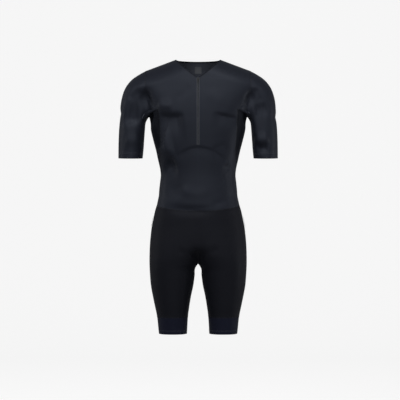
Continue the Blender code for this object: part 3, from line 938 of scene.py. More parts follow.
@dataclass
class Pattern:
    """Outer face of one cut piece: its welded points, its cells and its lie on the cloth.

    The name is also that of the frame's node it stands for, and the wall is the thickness
    of its cloth. It has no points before it is welded, and no normals before it is creased.
    """

    name: str
    wall: float
    slot: Slot
    parts: list[tuple[Array, Array, Array]] = field(default_factory=list, init=False)
    points: Array = field(init=False)
    cells: Array = field(init=False)
    cut: Array = field(init=False)
    normals: Array = field(init=False)

    def add(self, grid: Array, closed: bool = False, mirror: bool = False) -> "Pattern":
        """Add cells between the rows of a grid.

        Args:
            grid: Points by row, lowest first, running anticlockwise from above.
            closed: Whether each row closes on itself.
            mirror: Whether to add it on the wearer's other side instead.

        Returns:
            This piece.
        """
        if closed:
            grid = np.concatenate([grid, grid[:, :1]], axis=1)
        steps = np.linalg.norm(np.diff(grid, axis=1), axis=2)
        run = np.concatenate([np.zeros((len(grid), 1)), np.cumsum(steps, axis=1)], axis=1)
        if abs(grid[0, -1, 0]) < 1e-6:
            run = run - run[:, -1:]
        climbs = np.linalg.norm(np.diff(grid, axis=0), axis=2).mean(axis=1)
        rise = np.concatenate([[0.0], np.cumsum(climbs)])
        rise = rise - rise[-1]
        lie = np.stack([run, np.broadcast_to(rise[:, None], run.shape)], axis=-1)
        if mirror:
            grid = mirrored(grid)
            lie = lie[:, ::-1] * np.array([-1.0, 1.0])
        number = np.arange(grid.shape[0] * grid.shape[1]).reshape(grid.shape[:2])
        corners = [number[:-1, :-1], number[:-1, 1:], number[1:, 1:], number[1:, :-1]]
        cells = np.stack([corner.ravel() for corner in corners], axis=1)
        self.parts.append((grid.reshape(-1, 3), cells, lie.reshape(-1, 2)[cells]))
        return self

    def add_both(self, grid: Array) -> "Pattern":
        """Add cells between the rows of a grid, and their mirror image."""
        return self.add(grid).add(grid, mirror=True)

    def weld(self) -> None:
        """Join points at the same place, across all the grids of this piece."""
        offsets = np.cumsum([0] + [len(part[0]) for part in self.parts[:-1]])
        points = np.concatenate([part[0] for part in self.parts])
        cells = np.concatenate([part[1] + offset for part, offset in zip(self.parts, offsets)])
        _, first, same = shared_points(points)
        self.points = points[first]
        self.cells = same[cells]
        self.cut = np.concatenate([part[2] for part in self.parts])

    def border(self) -> Array:
        """Pairs of points along the free edges of the piece.

        Returns:
            Numbers of the two ends of each edge.
        """
        edges = np.concatenate([self.cells[:, (i, (i + 1) % 4)] for i in range(4)])
        edges = edges[edges[:, 0] != edges[:, 1]]
        count = len(self.points)
        codes = edges[:, 0] * count + edges[:, 1]
        return edges[~np.isin(codes, edges[:, 1] * count + edges[:, 0])]

    def trimmed(self, border: Array, gap: float) -> Array:
        """Points with the free edges drawn back by half of the gap at a seam.

        Args:
            border: Pairs of points along the free edges.
            gap: Gap at a seam.

        Returns:
            The trimmed points.
        """
        along = self.points[border[:, 1]] - self.points[border[:, 0]]
        inward = np.zeros_like(self.points)
        for end in (0, 1):
            into = np.cross(self.normals[border[:, end]], along)
            into /= np.linalg.norm(into, axis=1, keepdims=True)
            np.add.at(inward, border[:, end], into)
        size = np.maximum((inward**2).sum(axis=1, keepdims=True), 0.5)
        return self.points + gap * inward / size

    def build(self, gap: float) -> bpy.types.Object:
        """Make the closed wall of this piece.

        Args:
            gap: Gap at a seam.

        Returns:
            The piece, riding on the suit.
        """
        border = self.border()
        outer = self.trimmed(border, gap)
        inner = outer - self.normals * self.wall
        count = len(outer)
        lie = np.zeros((count, 2))
        lie[self.cells.reshape(-1)] = self.cut.reshape(-1, 2)
        start, end = border.T
        rim = np.stack([end, start, start + count, end + count], axis=1)
        cells = np.concatenate([self.cells, self.cells[:, ::-1] + count, rim])
        cut = np.concatenate([self.cut, self.cut[:, ::-1], lie[rim % count]])
        faces = []
        corners = []
        for cell, spots in zip(cells.tolist(), cut.tolist()):
            kept = [i for i in range(4) if cell[i] != cell[i - 1]]
            if len(kept) > 2:
                faces.append([cell[i] for i in kept])
                corners.extend(spots[i] for i in kept)
        mesh = bpy.data.meshes.new(self.name)
        mesh.from_pydata((np.concatenate([outer, inner]) * MM).tolist(), [], faces)
        layer = mesh.attributes.new("cut", "FLOAT_VECTOR", "CORNER")
        flat = np.zeros((len(corners), 3))
        flat[:, :2] = np.array(corners) * MM
        layer.data.foreach_set("vector", flat.ravel())
        mesh.shade_smooth()
        mesh.set_sharp_from_angle(angle=CLOTH_EDGE)
        # Inner faces take the second slot, which on satin pieces holds the painted-light inner
        # finish.
        inside = [1 if min(face) >= count else 0 for face in faces]
        mesh.polygons.foreach_set("material_index", inside)
        return place(self.name + "_cloth", mesh, SUIT_BODY)


def place(name: str, mesh: bpy.types.Mesh, body: str) -> bpy.types.Object:
    """Put a finished mesh in the scene.

    Args:
        name: Name of the piece.
        mesh: Its mesh, in metres.
        body: Body it rides on.

    Returns:
        The piece.
    """
    made = bpy.data.objects.new(name, mesh)
    bpy.context.scene.collection.objects.link(made)
    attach(made, body)
    return made


class Net:
    """All the pieces' points together, so that neighbours share normals and creases."""

    def __init__(self, patterns: Sequence[Pattern]) -> None:
        """Gather the points of the pieces.

        Args:
            patterns: Every piece of the suit, welded.
        """
        self.patterns = patterns
        rest = np.concatenate([pattern.points for pattern in patterns])
        keys, first, same = shared_points(rest)
        self.rest = rest[first]
        self.index = {tuple(key): number for number, key in enumerate(keys.tolist())}
        self.ids = np.split(same, np.cumsum([len(p.points) for p in patterns])[:-1])
        self.points = self.rest.copy()
        self.normals = self.common_normals()

    def common_normals(self) -> Array:
        """Outward normal at every point, averaged over the cells that meet there.

        Returns:
            Unit normals, one for each point of the net.
        """
        total = np.zeros_like(self.points)
        for pattern, ids in zip(self.patterns, self.ids):
            corners = self.points[ids[pattern.cells]]
            across = np.cross(corners[:, 2] - corners[:, 0], corners[:, 3] - corners[:, 1])
            for corner in range(4):
                np.add.at(total, ids[pattern.cells[:, corner]], across)
        return total / np.maximum(np.linalg.norm(total, axis=1, keepdims=True), 1e-9)

    def crease(self, folds: Sequence[Fold]) -> None:
        """Press the folds into the cloth, and work the normals out again.

        Args:
            folds: Folds to press in.
        """
        lift = sum(fold.lift(self.rest, self.normals) for fold in folds)
        self.points = self.rest + self.normals * lift[:, None]
        self.normals = self.common_normals()
        for pattern, ids in zip(self.patterns, self.ids):
            pattern.points = self.points[ids]
            pattern.normals = self.normals[ids]

    def find(self, path: Array) -> tuple[Array, Array]:
        """Where the points of a path on the smooth form have come to lie.

        Args:
            path: Points that belong to the pieces.

        Returns:
            Their places in the creased cloth, and the normals there.
        """
        ids = [self.index[tuple(key)] for key in point_keys(path).tolist()]
        return self.points[ids], self.normals[ids]


# ---------------------------------------------------------------- thread


@dataclass(frozen=True)
class Lay:
    """A line on the cloth, with the way out of the cloth and the way across the line."""

    points: Array
    out: Array
    across: Array

    @staticmethod
    def along(points: Array, out: Array, spacing: float, margin: float = 0.0) -> "Lay":
        """Space a line out evenly.

        Args:
            points: Points of the line.
            out: Outward normals at the points.
            spacing: Distance from one place to the next.
            margin: Length left bare at each end.

        Returns:
            The line, evenly spaced.
        """
        steps = np.linalg.norm(np.diff(points, axis=0), axis=1)
        keep = np.concatenate([[True], steps > 1e-6])
        points = points[keep]
        out = out[keep]
        run = np.concatenate([[0.0], np.cumsum(np.linalg.norm(np.diff(points, axis=0), axis=1))])
        count = max(3, int(round((run[-1] - 2 * margin) / spacing)) + 1)
        at = np.linspace(margin, run[-1] - margin, count)
        even = np.stack([np.interp(at, run, points[:, axis]) for axis in range(3)], axis=1)
        normal = np.stack([np.interp(at, run, out[:, axis]) for axis in range(3)], axis=1)
        normal /= np.linalg.norm(normal, axis=1, keepdims=True)
        across = np.cross(normal, np.gradient(even, axis=0))
        across /= np.linalg.norm(across, axis=1, keepdims=True)
        return Lay(even, normal, across)

    def offset(self, sideways: Array | float, outward: Array | float) -> Array:
        """Points moved sideways and outward from the line.

        Args:
            sideways: Distance across, one for all points or one for each.
            outward: Distance out of the cloth, likewise.

        Returns:
            The moved points.
        """
        side = np.broadcast_to(sideways, len(self.points))[:, None]
        out = np.broadcast_to(outward, len(self.points))[:, None]
        return self.points + self.across * side + self.out * out


@dataclass
class Stitching:
    """Thread of one colour, gathered into one mesh.

    The dip and crown of a stitch, and the rise of a crossing thread, are shares of the radius.
    """

    radius: float
    flatness: float = 0.8
    hidden: float = 0.22
    dip: float = -0.5
    crown: float = 0.6
    crossing: float = 0.3
    points: list[Array] = field(default_factory=list, init=False)
    faces: list[Array] = field(default_factory=list, init=False)
    count: int = field(default=0, init=False)

    def run(self, path: Array, out: Array) -> None:
        """Lay one length of thread.

        Args:
            path: Points that it follows.
            out: Outward normals at the points.
        """
        ahead = np.gradient(path, axis=0)
        across = np.cross(out, ahead)
        across /= np.maximum(np.linalg.norm(across, axis=1, keepdims=True), 1e-9)
        ring = [across, self.flatness * out, -across, -self.flatness * out]
        points = np.stack([path + self.radius * way for way in ring], axis=1)
        number = np.arange(points.shape[0] * 4).reshape(-1, 4) + self.count
        after = np.roll(number, -1, axis=1)
        sides = np.stack([number[:-1], after[:-1], after[1:], number[1:]], axis=-1).reshape(-1, 4)
        ends = np.array([number[0][::-1], number[-1]])
        self.points.append(points.reshape(-1, 3))
        self.faces.extend([sides, ends])
        self.count += points.shape[0] * 4

    def dashes(self, line: Lay, sideways: float) -> None:
        """Lay a row of plain stitches beside a line.

        Args:
            line: The line, with one stitch from each point to the next.
            sideways: Distance of the row from the line.
        """
        base = line.offset(sideways, 0.0)
        shares = (self.hidden / 2, 0.5, 1 - self.hidden / 2)
        rises = (self.dip * self.radius, self.crown * self.radius, self.dip * self.radius)
        for start, end, first, last in zip(base, base[1:], line.out, line.out[1:]):
            out = (first + last) / 2
            path = np.array([start + (end - start) * s + out * r for s, r in zip(shares, rises)])
            self.run(path, np.stack([first, out, last]))

    def zigzag(self, line: Lay, half: float) -> None:
        """Lay a thread that crosses from side to side of a line."""
        sideways = np.where(np.arange(len(line.points)) % 2 == 0, half, -half)
        self.run(line.offset(sideways, self.crossing * self.radius), line.out)

    def flatlock(self, line: Lay, half: float) -> None:
        """Lay a flat seam: a crossing thread between two rows of stitches.

        Args:
            line: The line of the seam.
            half: Half of the seam's width.
        """
        self.zigzag(line, half)
        for sideways in (-half, half):
            self.dashes(line, sideways)

    def build(self, name: str, slot: Slot) -> bpy.types.Object:
        """Make the thread.

        Args:
            name: Name of the piece.
            slot: Not used.

        Returns:
            The piece, riding on the suit.
        """
        mesh = bpy.data.meshes.new(name)
        points = np.concatenate(self.points) * MM
        mesh.from_pydata(points.tolist(), [], np.concatenate(self.faces).tolist())
        mesh.shade_smooth()
        return place(name, mesh, SUIT_BODY)


# ---------------------------------------------------------------- finishes


Socket = bpy.types.NodeSocket
Input = Socket | float


class Nodes:
    """Helper that lays shader nodes out and links them."""

    def __init__(self, name: str) -> None:
        """Start a material.

        Args:
            name: Name of the material.
        """
        self.material = bpy.data.materials.new(name)
        self.material.use_nodes = True
        self.tree = self.material.node_tree
        self.shader = self.tree.nodes["Principled BSDF"]

    def add(
        self, kind: str, values: dict | None = None, links: dict | None = None, **settings: object
    ) -> bpy.types.Node:
        """Add a node.

        Args:
            kind: Type of the node.
            values: Values of its inputs.
            links: Outputs that feed its inputs.
            settings: Properties of the node.

        Returns:
            The node.
        """
        node = self.tree.nodes.new("ShaderNode" + kind)
        for key, value in settings.items():
            setattr(node, key, value)
        for key, value in (values or {}).items():
            node.inputs[key].default_value = value
        for key, output in (links or {}).items():
            self.tree.links.new(output, node.inputs[key])
        return node

    def math(self, operation: str, first: Input, second: Input = 0.0) -> Socket:
        """Add a sum, product or other operation on two outputs or numbers.

        Args:
            operation: Name of the operation.
            first: First output or number.
            second: Second output or number.

        Returns:
            The result.
        """
        node = self.add("Math", operation=operation)
        for socket, value in zip(node.inputs, (first, second)):
            if isinstance(value, (int, float)):
                socket.default_value = value
            else:
                self.tree.links.new(value, socket)
        return node.outputs[0]

    def weigh(self, first: Input, share: float, second: Input, other: float) -> Socket:
        """Add two outputs, each times its own share."""
        parts = self.math("MULTIPLY", first, share), self.math("MULTIPLY", second, other)
        return self.math("ADD", *parts)

    def feed(self, socket: str, output: Socket) -> None:
        """Link an output to an input of the main shader."""
        self.tree.links.new(output, self.shader.inputs[socket])

    def set(self, socket: str, value: float | tuple) -> None:
        """Give an input of the main shader one value all over."""
        self.shader.inputs[socket].default_value = value

    def blend(self, share: Socket, low: tuple, high: tuple) -> Socket:
        """Blend two colours by a share from 0 to 1."""
        colours = {6: (*low, 1.0), 7: (*high, 1.0)}
        return self.add("Mix", colours, {0: share}, data_type="RGBA").outputs[2]

    def noise(self, scale: float, detail: float = 2.0) -> Socket:
        """Add soft mottling at a scale in cycles per metre."""
        links = {"Vector": self.add("TexCoord").outputs["Object"]}
        return self.add("TexNoise", {"Scale": scale, "Detail": detail}, links).outputs["Fac"]

    def bump(self, height: Socket, distance: float, strength: float, **under: Socket) -> Socket:
        """Raise the surface by a height, over another bump given as Normal."""
        values = {"Distance": distance, "Strength": strength}
        return self.add("Bump", values, {"Height": height, **under}).outputs["Normal"]


@dataclass(frozen=True)
class Knit:
    """Stretch cloth of fine knitted columns, with a sheen."""

    name: str
    dark: tuple
    light: tuple
    roughness: float
    specular: float
    sheen: float
    sheen_roughness: float
    sheen_tint: tuple
    column: float
    course: float
    relief: float
    openness: float = 0.0

    leg_lean: ClassVar[float] = 1.4
    leg_share: ClassVar[float] = 0.6
    mottle_share: ClassVar[float] = 0.55
    mottle_scale: ClassVar[float] = 34.0
    mottle_detail: ClassVar[float] = 3.0
    mottle_rough: ClassVar[float] = 0.1
    pore_power: ClassVar[float] = 3.0
    slack_scale: ClassVar[float] = 45.0
    slack_detail: ClassVar[float] = 1.0
    slack_strength: ClassVar[float] = 0.09
    relief_strength: ClassVar[float] = 0.45

    def loops(self, nodes: Nodes) -> Socket:
        """Work the pattern of knitted loops out from the lie of the cut cloth.

        Args:
            nodes: Nodes of the material.

        Returns:
            Height of the loops, from 0 to 1.
        """
        cut = nodes.add("Attribute", attribute_name="cut").outputs["Vector"]
        split = nodes.add("SeparateXYZ", links={"Vector": cut})
        across = nodes.math("MULTIPLY", split.outputs["X"], 2 * math.pi / self.column)
        along = nodes.math("MULTIPLY", split.outputs["Y"], 2 * math.pi / self.course)
        legs = nodes.math("ABSOLUTE", nodes.math("SINE", across))
        lean = nodes.math("MULTIPLY", nodes.math("COSINE", across), self.leg_lean)
        wave = nodes.math("SINE", nodes.math("ADD", along, lean))
        heads = nodes.math("MULTIPLY", nodes.math("ADD", wave, 1.0), 0.5)
        return nodes.weigh(legs, self.leg_share, heads, 1 - self.leg_share)

    def material(self) -> bpy.types.Material:
        """Make the cloth's material.

        Returns:
            The material.
        """
        nodes = Nodes(self.name)
        knit = self.loops(nodes)
        mottle = nodes.noise(self.mottle_scale, self.mottle_detail)
        pores = nodes.math("POWER", nodes.math("SUBTRACT", 1.0, knit), self.pore_power)
        shade = nodes.weigh(mottle, self.mottle_share, knit, 1 - self.mottle_share)
        shade = nodes.math("SUBTRACT", shade, nodes.math("MULTIPLY", pores, self.openness))
        nodes.feed("Base Color", nodes.blend(shade, self.dark, self.light))
        rough = nodes.math("MULTIPLY", mottle, self.mottle_rough)
        smoothest = self.roughness - self.mottle_rough / 2
        nodes.feed("Roughness", nodes.math("ADD", rough, smoothest))
        slack = nodes.noise(self.slack_scale, self.slack_detail)
        slack = nodes.bump(slack, MM, self.slack_strength)
        relief = nodes.bump(knit, self.relief * MM, self.relief_strength, Normal=slack)
        nodes.feed("Normal", relief)
        nodes.set("Specular IOR Level", self.specular)
        nodes.set("Specular Tint", (*self.sheen_tint, 1.0))
        nodes.set("Sheen Weight", self.sheen)
        nodes.set("Sheen Roughness", self.sheen_roughness)
        nodes.set("Sheen Tint", (*self.sheen_tint, 1.0))
        return nodes.material


@dataclass(frozen=True)
class Grain:
    """Finish of a small hard or twisted part: mottled, with a fine grain."""

    name: str
    dark: tuple
    light: tuple
    roughness: float
    specular: float = 0.4
    metallic: float = 0.0
    scale: float = 900.0
    relief: float = 0.05

    detail: ClassVar[float] = 3.0
    mottle_rough: ClassVar[float] = 0.16
    relief_strength: ClassVar[float] = 0.5

    def material(self) -> bpy.types.Material:
        """Make the part's material.

        Returns:
            The material.
        """
        nodes = Nodes(self.name)
        grain = nodes.noise(self.scale, self.detail)
        nodes.feed("Base Color", nodes.blend(grain, self.dark, self.light))
        rough = nodes.math("MULTIPLY", grain, self.mottle_rough)
        smoothest = self.roughness - self.mottle_rough / 2
        nodes.feed("Roughness", nodes.math("ADD", rough, smoothest))
        nodes.feed("Normal", nodes.bump(grain, self.relief * MM, self.relief_strength))
        nodes.set("Specular IOR Level", self.specular)
        nodes.set("Metallic", self.metallic)
        return nodes.material


SATIN = Knit(
    "satin_knit",
    dark=(0.0064, 0.0076, 0.0122),
    light=(0.0104, 0.0121, 0.0190),
    roughness=0.54,
    specular=0.27,
    sheen=0.05,
    sheen_roughness=0.45,
    sheen_tint=(0.77, 0.84, 1.0),
    column=1.1,
    course=0.9,
    relief=0.10,
)
# The satin's inner face: the knit's reverse, a little duller by nature, but made many times lighter
# than the outer face as painted light, standing in for light that falls inside the neck.
SATIN_REVERSE_PAINTED_LIGHT = Knit(
    "satin_knit_reverse_painted_light",
    dark=(0.062, 0.068, 0.088),
    light=(0.092, 0.100, 0.125),
    roughness=0.7,
    specular=0.08,
    sheen=0.04,
    sheen_roughness=0.5,
    sheen_tint=(0.77, 0.84, 1.0),
    column=1.1,
    course=1.8,
    relief=0.14,
)
SIDE_KNIT = Knit(
    "side_knit",
    dark=(0.0035, 0.004, 0.006),
    light=(0.008, 0.0088, 0.0125),
    roughness=0.6,
    specular=0.1,
    sheen=0.05,
    sheen_roughness=0.5,
    sheen_tint=(0.72, 0.80, 1.0),
    column=1.8,
    course=1.8,
    relief=0.22,
    openness=0.9,
)
SHORTS_KNIT = Knit(
    "shorts_knit",
    dark=(0.0022, 0.0025, 0.0044),
    light=(0.0043, 0.0047, 0.0078),
    roughness=0.6,
    specular=0.18,
    sheen=0.03,
    sheen_roughness=0.5,
    sheen_tint=(0.84, 0.87, 1.0),
    column=1.0,
    course=0.8,
    relief=0.08,
)
GRIPPER_KNIT = Knit(
    "gripper_knit",
    dark=(0.0054, 0.0060, 0.0128),
    light=(0.0100, 0.0113, 0.0232),
    roughness=0.55,
    specular=0.1,
    sheen=0.04,
    sheen_roughness=0.5,
    sheen_tint=(0.72, 0.80, 1.0),
    column=2.6,
    course=0.9,
    relief=0.35,
)
BINDING_KNIT = Knit(
    "binding_knit",
    dark=(0.005, 0.0056, 0.0075),
    light=(0.0095, 0.0105, 0.014),
    roughness=0.5,
    specular=0.12,
    sheen=0.05,
    sheen_roughness=0.5,
    sheen_tint=(0.72, 0.80, 1.0),
    column=1.4,
    course=0.8,
    relief=0.15,
)
TAPE_WEAVE = Knit(
    "zip_tape_weave",
    dark=(0.023, 0.0255, 0.034),
    light=(0.036, 0.040, 0.051),
    roughness=0.5,
    specular=0.4,
    sheen=0.1,
    sheen_roughness=0.5,
    sheen_tint=(0.9, 0.94, 1.0),
    column=0.9,
    course=0.9,
    relief=0.12,
)
COIL_NYLON = Grain("zip_coil_nylon", (0.016, 0.018, 0.022), (0.032, 0.035, 0.042), 0.42, 0.35)
BLACK_METAL = Grain(
    "slider_metal",
    dark=(0.010, 0.011, 0.013),
    light=(0.026, 0.028, 0.032),
    roughness=0.34,
    specular=0.5,
    metallic=0.35,
    scale=420.0,
    relief=0.03,
)


def twisted(name: str, dark: tuple, light: tuple, roughness: float, specular: float) -> Grain:
    """Finish of twisted thread."""
    return Grain(name, dark, light, roughness, specular, scale=1600.0)


SEAM_THREAD = twisted("seam_thread", (0.008, 0.009, 0.012), (0.018, 0.020, 0.026), 0.55, 0.3)
HEM_THREAD = twisted("hem_thread", (0.040, 0.044, 0.054), (0.075, 0.082, 0.098), 0.5, 0.35)
SHORTS_THREAD = twisted(
    "shorts_thread", (0.006, 0.0065, 0.008), (0.014, 0.015, 0.018), 0.55, 0.3
)
TAB_WEAVE = Grain(
    "tab_weave", (0.095, 0.10, 0.114), (0.165, 0.173, 0.194), 0.6, 0.3, scale=1300.0
)

SLOT_FINISHES = {
    Slot.SATIN: SATIN,
    Slot.SIDE: SIDE_KNIT,
    Slot.SHORTS: SHORTS_KNIT,
    Slot.GRIPPER: GRIPPER_KNIT,
    Slot.BINDING: BINDING_KNIT,
    Slot.TAPE: TAPE_WEAVE,
    Slot.COIL: COIL_NYLON,
    Slot.METAL: BLACK_METAL,
}


class Finishes:
    """Finishes of the suit, each made once."""

    def __init__(self) -> None:
        """Make the finish of every slot, and of the satin's inner face, which is painted light:
        made far lighter than the outer face.
        """
        self.by_slot = {slot: finish.material() for slot, finish in SLOT_FINISHES.items()}
        self.reverse = SATIN_REVERSE_PAINTED_LIGHT.material()


# ---------------------------------------------------------------- the suit's parts


class Held(Enum):
    """Way that a piece of cloth is held."""

    HUNG = "hung"
    STRETCHED = "stretched"


@dataclass(frozen=True)
class FlatCut:
    """Flat size of one piece of cloth before it is sewn, in metres, and what it rests on."""

    width: float
    length: float
    area: float
    held: Held
    rests_on: tuple


SIDE_CUT = FlatCut(0.15, 0.36, 0.034, Held.HUNG, ("back",))
SLEEVE_CUT = FlatCut(0.50, 0.33, 0.093, Held.HUNG, ("back",))
GRIPPER_CUT = FlatCut(0.40, 0.061, 0.023, Held.STRETCHED, ("shorts_front",))
FLAT_CUTS = {
    "front": FlatCut(0.42, 0.56, 0.18, Held.HUNG, ("back",)),
    "back": FlatCut(0.42, 0.57, 0.182, Held.HUNG, ("front",)),
    "side_panel_left": SIDE_CUT,
    "side_panel_right": SIDE_CUT,
    "sleeve_left": SLEEVE_CUT,
    "sleeve_right": SLEEVE_CUT,
    "shorts_front": FlatCut(0.60, 0.42, 0.185, Held.HUNG, ("front",)),
    "shorts_back": FlatCut(0.66, 0.42, 0.2, Held.HUNG, ("back",)),
    "gripper_left": GRIPPER_CUT,
    "gripper_right": GRIPPER_CUT,
    "neck_binding": FlatCut(0.44, 0.012, 0.0025, Held.STRETCHED, ("front",)),
    "zip_tape": FlatCut(0.012, 0.25, 0.0024, Held.HUNG, ("front",)),
}


@dataclass
class Suit:
    """Every piece of cloth of the suit, cut on one form and sewn edge to edge."""

    gap: float = 0.02
    panel_wall: float = 1.6
    gripper_wall: float = 2.2
    binding_wall: float = 2.0
    binding_width: float = 5.0
    binding_swell: float = 0.5
    binding_rows: tuple = (0.0, 0.33, 0.67, 1.0)
    tape_wall: float = 1.2
    cut: Cut = field(default_factory=Cut)
    patterns: dict[str, Pattern] = field(default_factory=dict, init=False)
    seams: dict[str, Array] = field(default_factory=dict, init=False)
    hems: dict[str, Array] = field(default_factory=dict, init=False)
    made: dict[str, bpy.types.Object] = field(default_factory=dict, init=False)
    net: Net = field(init=False)

    def __post_init__(self) -> None:
        """Cut every piece, press its creases in, and mark the line of every seam."""
        grids = self.grids()
        self.cut_pieces(grids)
        self.weld()
        self.bind_neck(grids)
        self.weld()
        self.net.crease(ALL_FOLDS)
        self.mark_seams(grids)

    def grids(self) -> dict[str, Array]:
        """Work out the points of every piece, and the lines that pieces share.

        Returns:
            The grids, by name.
        """
        cut = self.cut
        front = cut.torso_half(Side.FRONT)
        back = cut.torso_half(Side.BACK)
        side = cut.side_panel()
        strip = cut.zip_strip(front)
        loop = cut.armhole(front, back, side)
        columns = cut.front_waist_cells * cut.fine.side_columns
        middle = cut.fine.zip_columns // 2
        front_waist = np.concatenate([strip[0, middle:-1], front[0], side[0, 1 : columns + 1]])
        back_waist = np.concatenate([back[0], side[0, -2 : columns - 1 : -1]])
        waists = zip(Side, (front_waist, back_waist))
        bands = [cut.gripper_half(way, waist) for way, waist in waists]
        zip_bottom = cut.zip_bottom_row * cut.fine.rows
        return {
            "front": front,
            "back": back,
            "side_panel": side,
            "below_zip": np.ascontiguousarray(strip[: zip_bottom + 1, middle:]),
            "zip_tape": strip[zip_bottom:],
            "armhole": loop,
            "sleeve": cut.sleeve(loop),
            "front_waist": front_waist,
            "back_waist": back_waist,
            "shorts_front": cut.leg_rows(Side.FRONT, front_waist),
            "shorts_back": cut.leg_rows(Side.BACK, back_waist),
            "gripper": np.concatenate([bands[0][:, :-1], bands[1][:, :0:-1]], axis=1),
        }

    def start(self, name: str, wall: float, slot: Slot) -> Pattern:
        """Start a piece of the suit, with no cells."""
        return self.patterns.setdefault(name, Pattern(name, wall, slot))

    def start_pair(self, name: str, wall: float, slot: Slot, grid: Array, closed: bool) -> None:
        """Cut a piece for the wearer's left, and its mirror image for the right.

        Args:
            name: Name of the pieces, without their side.
            wall: Thickness of their cloth.
            slot: Material slot they take their finish from.
            grid: Points of the left piece.
            closed: Whether each row closes on itself.
        """
        for way, mirror in (("left", False), ("right", True)):
            self.start(f"{name}_{way}", wall, slot).add(grid, closed, mirror)

    def cut_pieces(self, grids: dict[str, Array]) -> None:
        """Cut every piece but the neck binding.

        Args:
            grids: Points of the pieces, by name.
        """
        wall = self.panel_wall
        self.start("front", wall, Slot.SATIN).add_both(grids["front"]).add_both(grids["below_zip"])
        self.start("back", wall, Slot.SATIN).add_both(grids["back"][:, ::-1])
        self.start_pair("side_panel", wall, Slot.SIDE, grids["side_panel"], False)
        self.start_pair("sleeve", wall, Slot.SATIN, grids["sleeve"], True)
        self.start("shorts_front", wall, Slot.SHORTS).add_both(grids["shorts_front"])
        self.start("shorts_back", wall, Slot.SHORTS).add_both(grids["shorts_back"][:, ::-1])
        self.start_pair("gripper", self.gripper_wall, Slot.GRIPPER, grids["gripper"], True)
        self.start("zip_tape", self.tape_wall, Slot.TAPE).add(grids["zip_tape"])

    def weld(self) -> None:
        """Weld every piece and gather them all into one net."""
        for pattern in self.patterns.values():
            pattern.weld()
        self.net = Net(list(self.patterns.values()))

    def bind_neck(self, grids: dict[str, Array]) -> None:
        """Lay the neck binding from its seam up to the folded edge of the neck.

        Args:
            grids: Points of the pieces, by name.
        """
        neck = self.cut.neck_row * self.cut.fine.rows
        left = np.concatenate([grids["front"][neck:, 0], grids["back"][neck:-1, 0][::-1]])
        right = (left[:-1] * OTHER_SIDE)[::-1]
        neckline = np.concatenate([left, right])
        ids = [self.net.index[tuple(key)] for key in point_keys(neckline).tolist()]
        normals = self.net.normals[ids]
        up = np.cross(normals, np.gradient(neckline, axis=0))
        up /= np.linalg.norm(up, axis=1, keepdims=True)
        shares = np.array(self.binding_rows)[:, None, None]
        swell = self.binding_swell * np.sin(np.pi * shares)
        grid = neckline[None] + self.binding_width * shares * up + swell * normals
        self.start("neck_binding", self.binding_wall, Slot.BINDING).add(grid)
        self.seams["neck"] = neckline

    def mark_seams(self, grids: dict[str, Array]) -> None:
        """Keep the lines that thread or teeth follow.

        Args:
            grids: Points of the pieces, by name.
        """
        cut = self.cut
        front, loop, gripper = grids["front"], grids["armhole"], grids["gripper"]
        top = cut.side_top_row * cut.fine.rows
        zip_rows = slice(cut.zip_bottom_row * cut.fine.rows, cut.neck_row * cut.fine.rows)
        rows_below = len(cut.leg_levels) - cut.leg_levels.index(cut.form.crotch_z) - 1
        self.seams |= {
            "front_side": front[: top + 1, -1],
            "back_side": grids["back"][: top + 1, -1],
            "armhole": np.concatenate([loop, loop[:1]]),
            "shoulder": front[-1],
            "front_waist": grids["front_waist"],
            "back_waist": grids["back_waist"],
            "inseam": grids["shorts_front"][: rows_below * cut.fine.leg_rows + 1, 0],
            "outseam": grids["shorts_front"][:, -1],
            "gripper": np.concatenate([gripper[-1], gripper[-1, :1]]),
            "zip": grids["zip_tape"][:, cut.fine.zip_columns // 2],
            "zip_edge": front[zip_rows, 0],
        }
        self.hems = {"sleeve": grids["sleeve"], "gripper": gripper}

    def build(self) -> list[bpy.types.Object]:
        """Returns:
            The pieces.
        """
        for name, pattern in self.patterns.items():
            piece = pattern.build(self.gap)
            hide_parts(name)
            self.made[name] = piece
        for name, flat in FLAT_CUTS.items():
            piece = self.made[name]
        return list(self.made.values())

    def dress(self, finishes: Finishes) -> None:
        """Put each piece's finish on its outer face and edges, and on its inner face; satin pieces
        take a painted-light finish inside, lighter than their outer face.

        Args:
            finishes: Finishes of the suit.
        """
        for name, piece in self.made.items():
            slot = self.patterns[name].slot
            outer = finishes.by_slot[slot]
            piece.data.materials.append(outer)
            # Satin pieces take painted light on their inner faces: a finish far lighter than their
            # outer face.
            piece.data.materials.append(finishes.reverse if slot is Slot.SATIN else outer)


